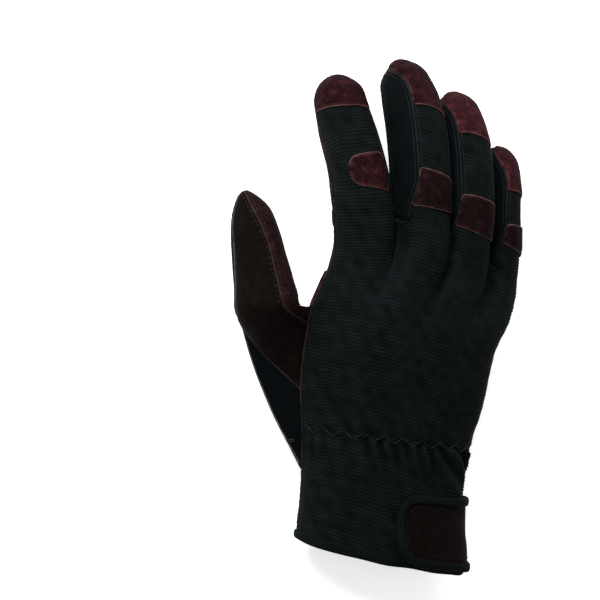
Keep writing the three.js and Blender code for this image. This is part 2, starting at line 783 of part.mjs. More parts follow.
const glove = new THREE.Group();
const skin = new Skin();
buildHand(skin);
buildFingers(skin);
buildWebs(skin);
buildThumb(skin);
const normals = skin.normals();
const inward = skin.points.map((point, k) => {
  const moved = point.clone().addScaledVector(normals[k], -SKIN);
  moved.z = Math.max(moved.z, SKIN);
  return moved;
});
const SKIN_PANELS = [
  ["back_panel", HAND_SETBACK, FINISHES.ribbed],
  ["palm_panel", HAND_SETBACK, FINISHES.maroon],
  [gussetName(0), GUSSET_SETBACK, FINISHES.smooth],
  [gussetName(1), GUSSET_SETBACK, FINISHES.smooth],
  [gussetName(2), GUSSET_SETBACK, FINISHES.smooth],
  ["thumb_back", THUMB_SETBACK, FINISHES.brown],
  ["thumb_side", THUMB_SETBACK, FINISHES.smooth],
  ["thumb_front", THUMB_SETBACK, FINISHES.maroon],
];
SKIN_PANELS.forEach(([name, setback, finish]) => (
  glove.add(pieceMesh(name, skin.panel(name, setback, inward), finish))
));

const LAID_PIECES = [
  ...CAPS.map((values) => [`tip_cap_${values[0]}`, capTriangles(values), FINISHES.red]),
  ...KNUCKLES.map((values) => [`knuckle_patch_${values[0]}`, knuckleTriangles(values), FINISHES.maroon]),
  ["palm_patch", palmPatchTriangles(), FINISHES.red],
  ["thumb_crotch_patch", crotchPatchTriangles(), FINISHES.red],
  ["hem_binding", bindingTriangles(), FINISHES.smooth],
  ["wrist_tab", tabLeatherTriangles(), FINISHES.brown],
  ["tab_binding", tabBindingTriangles(), FINISHES.smooth],
];
LAID_PIECES.forEach(([name, triangles, finish]) => glove.add(pieceMesh(name, triangles, finish)));

// The origin lies under the middle of the glove, on the surface that it rests on.
const extent = new THREE.Box3().setFromObject(glove);
const middle = extent.getCenter(new THREE.Vector3());
glove.position.set(-middle.x, -middle.y, -extent.min.z);

export default glove;
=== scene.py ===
import logging
import math
from dataclasses import dataclass
from enum import Enum
from functools import cached_property, partial
from typing import Callable, Mapping, Sequence

import bpy
import numpy as np
from mathutils import Matrix


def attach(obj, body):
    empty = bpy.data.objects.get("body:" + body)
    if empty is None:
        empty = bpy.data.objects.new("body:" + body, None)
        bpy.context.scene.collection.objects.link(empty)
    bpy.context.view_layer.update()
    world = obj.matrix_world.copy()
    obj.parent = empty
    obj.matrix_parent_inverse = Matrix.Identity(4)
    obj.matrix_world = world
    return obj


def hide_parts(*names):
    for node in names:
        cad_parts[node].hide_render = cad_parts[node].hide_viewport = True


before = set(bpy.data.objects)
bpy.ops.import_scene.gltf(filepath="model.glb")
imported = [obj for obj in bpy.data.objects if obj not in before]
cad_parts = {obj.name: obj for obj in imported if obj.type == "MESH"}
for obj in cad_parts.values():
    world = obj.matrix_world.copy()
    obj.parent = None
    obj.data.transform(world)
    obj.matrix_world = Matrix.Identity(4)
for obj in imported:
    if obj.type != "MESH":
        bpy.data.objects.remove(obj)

# A right-hand work glove, filled out and lying palm down. Sizes are in millimetres, in the pattern's own
# place. Workshop.piece moves every finished point to the frame, in metres.

log = logging.getLogger("glove")

Grid = np.ndarray
Surface = Callable[[Grid, Grid], Grid]

FRAME_SHIFT = (9.907, -126.243, 0.0)
MILLIMETRE = 0.001
LOWEST = 0.02

# How the glove rests, and how boxy its sections are: 2 is an ellipse.
FLOOR_UNDER_HAND = 1.45
FLOOR_SOFTNESS = 1.1
DIGIT_SQUARENESS = 2.5
HAND_SQUARENESS = 2.25
TIP_SQUARENESS = 2.2

# The thumb's hole in shares of the hand's height, and its pale edge seam: share of the root, station.
THUMB_HOLE_BOTTOM = 0.2
THUMB_HOLE_TOP = 0.7
THUMB_HOLE_SPAN = THUMB_HOLE_TOP - THUMB_HOLE_BOTTOM
THUMB_HOLE_REACH = 66.0
THUMB_HOLE_FULLNESS = 0.75
THUMB_EDGE = (
    (0.0, 9.8), (0.14, 9.75), (0.26, 9.7), (0.36, 9.55), (0.47, 8.98), (0.58, 8.45),
    (0.7, 7.6), (0.76, 6.85), (0.82, 5.7), (0.88, 4.5), (0.94, 3.95), (1.0, 3.85),
)

# Where the seams run, in degrees round the hand or the finger, and the gussets between the fingers.
KNUCKLE_START = 0.66
THUMB_SIDE_SEAM = 186.0
LITTLE_SIDE_SEAM = -12.0
INDEX_SEAM = 190.0
LITTLE_SEAM = -10.0
GUSSET_HALF_ANGLE = 40.0
GUSSET_TAPER = 19.0
GUSSET_END = 2.6
GUSSET_FULLNESS = 0.6
GUSSET_ROOT_SHARE = 0.4
GUSSET_OPENING = 24.0
WEB_REACH = 2.5
WEB_SAG = 1.6
WEB_COLUMNS = 3

# The cloth: ribs, the gathered line in shares of the hand's height, spacings and thickness.
RIB_PITCH = 1.6
ROWS_PER_RIB = 5
HAND_RIBS = 96
HAND_RIB_FALL = 0.14
RIB_SLOPE_KEPT = 0.8
GATHER_LINE = 0.335
GATHER_PITCH = 10.0
HAND_LENGTH = 154.0
CLOTH_COLUMN = 1.05
PALM_ROW = 1.25
INNER_FACE = 1.1
INNER_MARK = 0.35
EDGE_REACH = 10.0

# Share of the height, y, drop to the little finger, bend of the drop, centre's x and z, half width and depth.
HAND_ROWS = (
    (0.00, 19.8, 22.5, 0.8, -11.4, 20.9, 42.2, 19.6),
    (0.15, 43.0, 15.5, 1.0, -10.1, 20.6, 40.9, 19.6),
    (0.33, 72.0, 14.5, 1.1, -8.0, 21.0, 42.8, 20.2),
    (0.50, 98.0, 18.0, 1.4, -5.0, 22.6, 46.3, 22.0),
    (0.68, 127.0, 23.0, 1.7, -0.9, 24.6, 46.7, 23.4),
    (0.85, 152.0, 30.0, 2.0, 4.1, 26.6, 47.7, 22.2),
    (1.00, 174.0, 33.0, 2.2, 12.1, 27.4, 47.1, 19.4),
)

# Centre's x, y and z, half width, half depth and roll in degrees.
INDEX_ROWS = (
    (-21.2, 172.5, 25.6, 14.4, 13.6, 2),
    (-22.8, 190.0, 24.6, 13.6, 13.3, 3),
    (-25.2, 206.0, 20.6, 13.1, 12.8, 4),
    (-27.4, 220.0, 15.2, 12.4, 12.0, 5),
    (-29.2, 231.0, 11.6, 11.2, 10.8, 6),
    (-30.4, 239.5, 8.8, 9.2, 8.8, 6),
)
MIDDLE_ROWS = (
    (5.8, 168.0, 32.6, 12.4, 13.8, 14),
    (5.6, 186.0, 32.0, 12.9, 13.8, 15),
    (5.5, 203.0, 30.0, 13.2, 13.5, 16),
    (5.4, 217.0, 25.6, 13.1, 12.9, 17),
    (5.0, 229.5, 18.6, 12.3, 11.7, 18),
    (4.0, 239.0, 12.0, 10.3, 10.0, 18),
    (2.8, 246.0, 7.8, 7.9, 8.2, 18),
)
RING_ROWS = (
    (29.8, 157.0, 27.4, 11.2, 13.0, 14.5),
    (30.6, 173.0, 28.2, 11.8, 13.0, 15),
    (31.4, 188.0, 26.6, 12.1, 12.8, 15),
    (32.0, 202.0, 22.6, 12.0, 12.3, 16),
    (32.2, 213.5, 16.4, 11.4, 11.3, 17),
    (32.0, 223.0, 10.8, 10.0, 9.8, 18),
    (31.4, 230.5, 7.6, 8.0, 8.2, 18),
)
LITTLE_ROWS = (
    (51.4, 144.0, 14.8, 10.3, 11.8, 40),
    (52.2, 158.0, 15.8, 10.5, 11.6, 41),
    (53.0, 171.0, 15.2, 10.5, 11.2, 42),
    (54.2, 183.0, 12.8, 10.4, 10.8, 43),
    (55.0, 194.0, 10.0, 9.6, 9.8, 46),
    (55.8, 204.0, 8.0, 8.2, 8.2, 48),
)
THUMB_ROWS = (
    (-68.4, 134.0, 18.8, 15.2, 15.4, -20),
    (-69.4, 144.0, 16.8, 13.9, 14.2, -20),
    (-70.5, 154.0, 14.8, 12.8, 13.2, -20),
    (-71.8, 164.0, 13.2, 11.6, 12.1, -20),
    (-73.2, 174.0, 11.6, 9.9, 10.8, -20),
    (-76.4, 186.2, 9.6, 5.4, 8.4, -20),
)


class Side(Enum):
    """The two faces of the hand."""

    BACK = "back"
    PALM = "palm"


class Slot(Enum):
    """Material slots of the record."""

    RIBBED = "ribbed_cloth"
    SMOOTH = "smooth_cloth"
    BINDING = "binding_cloth"
    PALM = "palm_leather"
    RED = "red_leather"
    BROWN = "brown_leather"


def smooth_step(x: Grid) -> Grid:
    """A soft rise from 0 to 1: 3x^2 - 2x^3 between the ends."""
    x = np.clip(x, 0.0, 1.0)
    return x * x * (3.0 - 2.0 * x)


def mixed(a: Grid, b: Grid, share: Grid) -> Grid:
    """The point or value that lies a share of the way from a to b."""
    return a + (b - a) * share


def bell(x: Grid, width: float) -> Grid:
    """A bell curve: e to minus the square of x over its width."""
    return np.exp(-((x / width) ** 2))


def unit(vectors: Grid) -> Grid:
    """The same vectors at length 1."""
    return vectors / np.maximum(np.linalg.norm(vectors, axis=-1, keepdims=True), 1e-9)


def facing(directions: Grid, toward: Grid) -> Grid:
    """Directions turned round where they point away from another direction."""
    return directions * np.sign(np.sum(directions * toward, -1, keepdims=True))


def walked(points: Grid) -> Grid:
    """Distance from the first point of a row to each."""
    return np.concatenate([[0.0], np.cumsum(np.linalg.norm(np.diff(points, axis=0), axis=1))])


def spread(*values: Grid) -> list[Grid]:
    """Numbers and arrays as arrays of one common shape."""
    return list(np.broadcast_arrays(*(np.asarray(value, float) for value in values)))


def spaced(total: float, step: float) -> Grid:
    """Even places from 0 to 1 with about a step of millimetres between them."""
    return np.linspace(0, 1, max(2, int(round(total / step)) + 1))


def through_rows(knots: Grid, rows: Grid, at: Grid) -> Grid:
    """A smooth curve through the rows of a table: cubic pieces whose slopes average the neighbours'.

    Args:
        knots: where each row stands.
        rows: one row of values for each knot.
        at: the places wanted.

    Returns:
        A row of values for each place.
    """
    at = np.asarray(at, float)
    slopes = np.empty_like(rows)
    slopes[1:-1] = (rows[2:] - rows[:-2]) / (knots[2:] - knots[:-2])[:, None]
    slopes[0] = (rows[1] - rows[0]) / (knots[1] - knots[0])
    slopes[-1] = (rows[-1] - rows[-2]) / (knots[-1] - knots[-2])
    i = np.clip(np.searchsorted(knots, at, side="right") - 1, 0, len(knots) - 2)
    width = (knots[i + 1] - knots[i])[..., None]
    t = (at[..., None] - knots[i][..., None]) / width
    return (
        (2 * t**3 - 3 * t**2 + 1) * rows[i]
        + (t**3 - 2 * t**2 + t) * width * slopes[i]
        + (3 * t**2 - 2 * t**3) * rows[i + 1]
        + (t**3 - t**2) * width * slopes[i + 1]
    )


def rounded_section(angle: Grid, squareness: float) -> tuple[Grid, Grid]:
    """Across and up on a rounded box: cosine and sine drawn out by a power under 1.

    Args:
        angle: degrees round the section.
        squareness: 2 for an ellipse, more for a boxier section.

    Returns:
        The two unit coordinates.
    """
    c, s = np.cos(np.radians(angle)), np.sin(np.radians(angle))
    power = 2.0 / squareness
    return np.sign(c) * np.abs(c) ** power, np.sign(s) * np.abs(s) ** power


def rested(points: Grid, floor: Grid) -> Grid:
    """Points that settle softly on a floor: height above it becomes half of h + sqrt(h^2 + soft^2).

    Args:
        points: millimetre points.
        floor: the lowest height allowed.

    Returns:
        The settled points.
    """
    out = np.array(points, float)
    height = out[..., 2] - floor
    out[..., 2] = floor + 0.5 * (height + np.sqrt(height**2 + FLOOR_SOFTNESS**2)) - 0.02
    return out


def ripple(points: Grid, wavelength: float, seed: int) -> Grid:
    """A cloudy field between about -1 and 1: a sum of seven sine waves in fixed scattered directions.

    Args:
        points: millimetre points.
        wavelength: the typical size of a cloud.
        seed: fixes the directions and phases.

    Returns:
        One value for each point.
    """
    waves = 7
    rng = np.random.default_rng(seed)
    directions = unit(rng.normal(size=(waves, 3))) * rng.uniform(0.7, 1.5, (waves, 1))
    phases = rng.uniform(0, 2 * np.pi, waves)
    total = np.zeros(points.shape[:-1])
    for direction, phase in zip(directions, phases):
        total += np.sin(points @ direction * (2 * np.pi / wavelength) + phase)
    return total / math.sqrt(waves)


@dataclass(frozen=True)
class Digit:
    """A finger or the thumb: rounded sections along a curved line, closed by a rounded tip."""

    name: str
    rows: tuple
    tip: float
    slant: float = 0.0

    @cached_property
    def table(self) -> Grid:
        """The rows as one array."""
        return np.array(self.rows, float)

    @cached_property
    def knots(self) -> Grid:
        """Distance of each row along the line of centres."""
        return walked(self.table[:, :3])

    @property
    def length(self) -> float:
        """Length of the line of centres."""
        return float(self.knots[-1])

    def centre(self, s: Grid) -> Grid:
        """Points of the line of centres."""
        return through_rows(self.knots, self.table[:, :3], np.clip(s, 0, self.length))

    def direction(self, s: Grid) -> Grid:
        """The way the line runs, from the centres half a millimetre before and after."""
        return unit(self.centre(np.asarray(s) + 0.5) - self.centre(np.asarray(s) - 0.5))

    def point(self, s: Grid, angle: Grid) -> Grid:
        """A point of the skin: centre plus side and back directions times the rounded section, drawn
        in towards the end by sqrt(1 - q^2.2).

        Args:
            s: distance from the root.
            angle: degrees round the digit.

        Returns:
            Millimetre points.
        """
        s, angle = spread(s, angle)
        inside = np.maximum(s, 0.0)
        row = through_rows(self.knots, self.table, np.minimum(inside, self.length))
        along = self.direction(inside)
        roll = np.radians(row[..., 5])
        up = np.stack([np.sin(roll), np.zeros_like(roll), np.cos(roll)], -1)
        up = unit(up - np.sum(up * along, -1, keepdims=True) * along)
        into_tip = np.clip((s - self.length + self.tip) / self.tip, 0, 1)
        narrowing = np.sqrt(np.maximum(1 - into_tip**TIP_SQUARENESS, 0))
        x, y = rounded_section(angle, DIGIT_SQUARENESS)
        return (
            row[..., :3]
            + along * np.minimum(s, 0)[..., None]
            + np.cross(along, up) * (narrowing * row[..., 3] * x)[..., None]
            + up * (narrowing * row[..., 4] * y)[..., None]
        )

    def on_row(self, s: Grid, angle: Grid) -> Grid:
        """A point on a row that starts at the slanted root and straightens towards the tip.

        Args:
            s: distance from the root.
            angle: degrees round the digit.

        Returns:
            Millimetre points.
        """
        across, _ = rounded_section(angle, DIGIT_SQUARENESS)
        left = 1 - np.clip(np.asarray(s, float) / self.length, 0, 1)
        return self.point(s + self.slant * across * left**2, angle)

    def skin(self, s: Grid, angle: Grid) -> Grid:
        """The digit's skin where it lies."""
        return rested(self.on_row(s, angle), 0.0)


@dataclass(frozen=True)
class Finger:
    """A finger with the part of the hand's back and palm, in degrees, that runs out into it."""

    digit: Digit
    back: tuple[float, float]
    palm: tuple[float, float]
    columns: int
    first: bool = False
    last: bool = False
    fullness: float = 1.0

    def ends(self, side: Side) -> tuple[float, float]:
        """Angles round the hand where the finger's part of a side begins and ends."""
        return self.back if side is Side.BACK else self.palm

    def gusset_half(self, s: Grid) -> Grid:
        """Half the angle of a side gusset: pointed at the crotch, and nothing before the tip.

        Args:
            s: distance from the root.

        Returns:
            Degrees.
        """
        s = np.asarray(s, float)
        left = self.digit.length - GUSSET_END - s
        opening = mixed(GUSSET_ROOT_SHARE, 1.0, smooth_step(s / GUSSET_OPENING))
        return GUSSET_HALF_ANGLE * opening * smooth_step(left / GUSSET_TAPER) ** GUSSET_FULLNESS

    def span(self, side: Side, s: Grid) -> tuple[Grid, Grid]:
        """Angles of a panel's two seams on the digit, from the thumb side.

        Args:
            side: back or palm.
            s: distance from the root.

        Returns:
            The first and the last angle.
        """
        half = self.gusset_half(s)
        back = side is Side.BACK
        turned = -self.fullness * half if back else half
        start = np.full_like(half, INDEX_SEAM) if self.first else 180 + turned
        end = np.full_like(half, LITTLE_SEAM) if self.last else (half if back else -half)
        return start, end if back else 360 + end

    def angle(self, side: Side, s: Grid, share: Grid) -> Grid:
        """The angle at a share of the way from the thumb-side seam to the other seam."""
        return mixed(*self.span(side, s), share)


INDEX = Finger(Digit("index", INDEX_ROWS, 11, -1.0), (186, 119), (186, 241), 30, first=True)
MIDDLE = Finger(Digit("middle", MIDDLE_ROWS, 12, -4.5), (113, 90), (247, 270), 18, fullness=1.26)
RING = Finger(Digit("ring", RING_ROWS, 11, -5.0), (87, 64), (273, 296), 18)
LITTLE = Finger(Digit("little", LITTLE_ROWS, 10, -4.5), (58, -12), (301, 348), 24, last=True, fullness=1.15)
FINGERS = (INDEX, MIDDLE, RING, LITTLE)
PAIRS = tuple(zip(FINGERS[:-1], FINGERS[1:]))
THUMB = Digit("thumb", THUMB_ROWS, 13)


@dataclass(frozen=True)
class Hand:
    """The hand between the hem and the finger roots, as one smooth loft."""

    rows: tuple = HAND_ROWS

    @cached_property
    def table(self) -> Grid:
        """The rows as one array."""
        return np.array(self.rows, float)

    def loft(self, v: Grid, angle: Grid) -> Grid:
        """Centre plus half sizes times the rounded section, with rows that drop to the little finger.

        Args:
            v: height, 0 at the hem and 1 at the finger roots.
            angle: degrees round the hand.

        Returns:
            Millimetre points.
        """
        v, angle = spread(v, angle)
        row = through_rows(self.table[:, 0], self.table, v)
        _, y, drop, bend, x, z, width, depth = np.moveaxis(row, -1, 0)
        across, up = rounded_section(angle, HAND_SQUARENESS)
        to_little = np.clip((1 + across) / 2, 0, 1)
        return np.stack([x + width * across, y - drop * to_little**bend, z + depth * up], -1)

    def wrist(self, v: Grid, angle: Grid) -> Grid:
        """The wrist where it lies."""
        return rested(self.loft(v, angle), FLOOR_UNDER_HAND)

    def bay(self, v: Grid) -> Grid:
        """The front edge of the thumb's hole, bowed into the palm by a rounded sine.

        Args:
            v: height on the hand.

        Returns:
            Degrees round the hand.
        """
        along = np.clip((np.asarray(v, float) - THUMB_HOLE_BOTTOM) / THUMB_HOLE_SPAN, 0, 1)
        bow = np.maximum(np.sin(along * np.pi), 0)
        return THUMB_SIDE_SEAM + THUMB_HOLE_REACH * bow**THUMB_HOLE_FULLNESS

    def column(self, side: Side, v: Grid, angle: Grid) -> Grid:
        """The angle of a column: as given on the back, pushed together by the bay on the palm.

        Args:
            side: back or palm.
            v: height on the hand.
            angle: degrees without the bay.

        Returns:
            Degrees round the hand.
        """
        if side is Side.BACK:
            return angle
        share = (angle - THUMB_SIDE_SEAM) / (LITTLE_SIDE_SEAM + 360 - THUMB_SIDE_SEAM)
        return mixed(self.bay(v), LITTLE_SIDE_SEAM + 360, share)

    def into_digit(self, v: Grid, angle: Grid, tube: Grid) -> Grid:
        """The loft turning into a digit's tube over the knuckles.

        Args:
            v: height on the hand.
            angle: degrees round the hand.
            tube: points of the tube.

        Returns:
            Millimetre points.
        """
        share = smooth_step((np.asarray(v, float) - KNUCKLE_START) / (1 - KNUCKLE_START))
        return rested(mixed(self.loft(v, angle), tube, share[..., None]), FLOOR_UNDER_HAND * (1 - share))

    def setback(self, v: Grid, angle: Grid) -> Grid:
        """How far below the finger roots a place on the loft lies, as a length under 0."""
        return self.loft(v, angle)[..., 1] - self.loft(1.0, angle)[..., 1]

    def on_finger(self, side: Side, finger: Finger, v: Grid, share: Grid) -> Grid:
        """A point of the hand below one finger.

        Args:
            side: back or palm.
            finger: the finger above.
            v: height on the hand.
            share: the way from the finger's thumb-side seam to its other seam.

        Returns:
            Millimetre points.
        """
        v, share = spread(v, share)
        angle = self.column(side, v, mixed(*finger.ends(side), share))
        tube = finger.digit.on_row(self.setback(v, angle), finger.angle(side, 0.0, share))
        return self.into_digit(v, angle, tube)

    def between(self, side: Side, left: Finger, right: Finger, v: Grid, share: Grid) -> Grid:
        """A point of the hand below a crotch: the chord between two tubes, sagging in the middle.

        Args:
            side: back or palm.
            left: the finger on the thumb side.
            right: its neighbour.
            v: height on the hand.
            share: the way from one to the other.

        Returns:
            Millimetre points.
        """
        v, share = spread(v, share)
        ends = left.ends(side)[1], right.ends(side)[0]
        first, last, angle = (self.column(side, v, a) for a in (*ends, mixed(*ends, share)))
        a = left.digit.on_row(self.setback(v, first), left.span(side, 0.0)[1])
        b = right.digit.on_row(self.setback(v, last), right.span(side, 0.0)[0])
        return self.into_digit(v, angle, chord_with_sag(left, right, a, b, share))

    def strips(self, side: Side) -> list[tuple[int, Finger | None, Surface]]:
        """The hand's strips from the thumb side, below a finger and a crotch in turn.

        Args:
            side: back or palm.

        Returns:
            Each strip's columns, its finger if it has one, and its surface by height and share across.
        """
        strips = []
        for finger, right in zip(FINGERS, (*FINGERS[1:], None)):
            strips.append((finger.columns, finger, partial(self.on_finger, side, finger)))
            if right is not None:
                strips.append((WEB_COLUMNS, None, partial(self.between, side, finger, right)))
        return strips

    def hole_edge(self, turn: Grid) -> Grid:
        """The thumb hole's edge: from the crotch down the back seam and up the bay.

        Args:
            turn: degrees round the hole.

        Returns:
            Millimetre points.
        """
        turn = np.asarray(turn, float)
        down = turn <= 180
        v = np.where(
            down,
            THUMB_HOLE_TOP - THUMB_HOLE_SPAN * turn / 180,
            THUMB_HOLE_BOTTOM + THUMB_HOLE_SPAN * (turn - 180) / 180,
        )
        angle = np.where(down, THUMB_SIDE_SEAM, self.bay(v))
        return self.into_digit(v, angle, INDEX.digit.on_row(self.setback(v, angle), INDEX_SEAM))


HAND = Hand()


def chord_with_sag(left: Finger, right: Finger, a: Grid, b: Grid, share: Grid) -> Grid:
    """A chord that sags towards the wrist by a parabola: 4k(1-k) of the sag at a share k.

    Args:
        left: the finger on the thumb side.
        right: its neighbour.
        a: points on the left finger.
        b: points on the right finger.
        share: the way from a to b.

    Returns:
        Millimetre points.
    """
    along = unit(left.digit.direction(0.0) + right.digit.direction(0.0))
    sag = WEB_SAG * 4 * share * (1 - share)
    return mixed(a, b, share[..., None]) - along * sag[..., None]


@dataclass(frozen=True)
class ThumbSeams:
    """The thumb's columns: stations of the hole's edge with their angles on the tube and at the tip."""

    stations: int = 20
    table: tuple = ((1, 65, 82), (5, 197, 206), (13, 254, 242), (21, 425, 442))
    belly: float = 4.8
    belly_station: float = 8.6
    belly_width: float = 3.2
    belly_way: tuple[float, float, float] = (-0.97, -0.1, -0.1)
    turn_end: float = 5.0
    turn: float = 26.0

    def angles(self, station: Grid, column: int) -> Grid:
        """Angles of a column of the table at any station, by straight lines between its rows."""
        table = np.array(self.table, float)
        return np.interp(station, table[:, 0], table[:, column])

    def root(self, share: Grid, station: Grid) -> Grid:
        """The spread root: a cubic from the hole's edge that arrives in the thumb's own line, and the
        belly of the outer side, a bell round its station.

        Args:
            share: 0 at the hole's edge and 1 at the tube.
            station: the column.

        Returns:
            Millimetre points.
        """
        share, station = spread(share, station)
        start = HAND.hole_edge((station % self.stations) * 360 / self.stations)
        chord = THUMB.point(0.0, self.angles(station, 1)) - start
        arrive = THUMB.direction(0.0) * np.linalg.norm(chord, axis=-1, keepdims=True)
        t = share[..., None]
        point = start + chord * (3 * t**2 - 2 * t**3 + t**3 - 2 * t**2 + t) + arrive * (t**3 - t**2)
        between = np.clip(np.sin(np.pi * np.clip(share, 0, 1) ** 0.85), 0, 1) ** 1.2
        belly = self.belly * bell(station - self.belly_station, self.belly_width) * between
        return rested(point + belly[..., None] * np.array(self.belly_way), FLOOR_UNDER_HAND * (1 - share))

    def tube(self, s: Grid, station: Grid) -> Grid:
        """The tube, whose columns turn a little before the tip.

        Args:
            s: distance from the tube's start.
            station: the column.

        Returns:
            Millimetre points.
        """
        s, station = spread(s, station)
        late = smooth_step((s - (THUMB.length - self.turn_end - self.turn)) / self.turn)
        angle = mixed(self.angles(station, 1), self.angles(station, 2), late)
        return rested(THUMB.point(s, angle), 0.0)


THUMB_SEAMS = ThumbSeams()


def outward(surface: Surface, a: Grid, b: Grid) -> Grid:
    """The outward direction of a surface: the cross product of small steps along its parameters.

    Args:
        surface: the surface.
        a: its first parameter.
        b: its second.

    Returns:
        Unit vectors.
    """
    step = 0.02
    along_a = surface(a + step, b) - surface(a - step, b)
    along_b = surface(a, b + step * 5) - surface(a, b - step * 5)
    return unit(np.cross(along_a, along_b))


@dataclass
class Line:
    """A line on the glove: points in order, the outward direction at each, and distance along it."""

    points: Grid
    normals: Grid

    @cached_property
    def along(self) -> Grid:
        """Distance from the line's start."""
        return walked(self.points)

    def at(self, distance: Grid) -> tuple[Grid, Grid]:
        """Points and directions at distances from the start, by straight lines.

        Args:
            distance: millimetres from the start.

        Returns:
            The points and the directions.
        """
        point = [np.interp(distance, self.along, self.points[:, k]) for k in range(3)]
        normal = [np.interp(distance, self.along, self.normals[:, k]) for k in range(3)]
        return np.stack(point, -1), unit(np.stack(normal, -1))

    def evened(self, pitch: float) -> "Line":
        """The same line with even steps of about a pitch."""
        count = max(2, int(round(self.along[-1] / pitch)) + 1)
        return Line(*self.at(np.linspace(0, self.along[-1], count)))

    def cut(self, start: float, end: float) -> "Line":
        """The stretch between two shares of the length."""
        total = self.along[-1]
        return Line(*self.at(np.linspace(start * total, end * total, 200)))

    def raised(self, height: float) -> "Line":
        """The line lifted off the surface."""
        return Line(self.points + self.normals * height, self.normals)

    @property
    def sideways(self) -> Grid:
        """Directions across the line, in the surface."""
        return unit(np.cross(self.normals, unit(np.gradient(self.points, axis=0))))

    def shifted(self, distance: float) -> "Line":
        """The line moved sideways in the surface."""
        return Line(self.points + self.sideways * distance, self.normals)


def line_on(surface: Surface, a: Grid, b: Grid) -> Line:
    """A line along a surface from its two parameters."""
    a, b = spread(a, b)
    return Line(surface(a, b), outward(surface, a, b))


def joined(*lines: Line) -> Line:
    """Several lines as one."""
    return Line(np.vstack([line.points for line in lines]), np.vstack([line.normals for line in lines]))


def nearest(points: Grid, lines: Sequence[Line]) -> tuple[Grid, Grid]:
    """Distance to the nearest of some lines, and the place along it, from all pairs in blocks.

    Args:
        points: millimetre points.
        lines: the lines.

    Returns:
        The distances and the places.
    """
    step, block_size = 0.8, 4000
    evened = [line.evened(step) for line in lines]
    marks = np.vstack([line.points for line in evened]).astype(np.float32)
    along = np.concatenate([line.along for line in evened])
    squares = np.sum(marks**2, 1)
    distance, place = np.empty(len(points)), np.empty(len(points))
    for start in range(0, len(points), block_size):
        now = slice(start, start + block_size)
        block = points[now].astype(np.float32)
        best = np.argmin(np.sum(block**2, 1)[:, None] + squares - 2 * block @ marks.T, 1)
        distance[now] = np.linalg.norm(block - marks[best], axis=1)
        place[now] = along[best]
    return distance, place


@dataclass
class Patch:
    """A grid of points, with marks that follow the cloth: one value of each for every point."""

    points: Grid
    marks: dict[str, Grid]

    @classmethod
    def of(cls, points: Grid, **marks: Grid) -> "Patch":
        """A patch whose marks are spread over its points."""
        return cls(points, {name: np.broadcast_to(mark, points.shape[:2]) for name, mark in marks.items()})

    def turned(self) -> "Patch":
        """The same patch facing the other way."""
        return Patch(self.points[:, ::-1], {k: m[:, ::-1] for k, m in self.marks.items()})


def grid_faces(n: Grid) -> Grid:
    """Four-sided faces of a grid, from the numbers of its points in rows and columns."""
    return np.stack([n[..., :-1, :-1], n[..., :-1, 1:], n[..., 1:, 1:], n[..., 1:, :-1]], -1).reshape(-1, 4)


def welded(points: Grid, faces: Grid) -> tuple[Grid, Grid]:
    """Makes one of the points that coincide to a thousandth of a millimetre.

    Args:
        points: millimetre points.
        faces: their numbers, four a face.

    Returns:
        The points that are kept, and the faces in their numbers.
    """
    keys = np.round(points * 1000).astype(np.int64)
    _, first, number = np.unique(keys, axis=0, return_index=True, return_inverse=True)
    return first, number.reshape(-1)[faces]


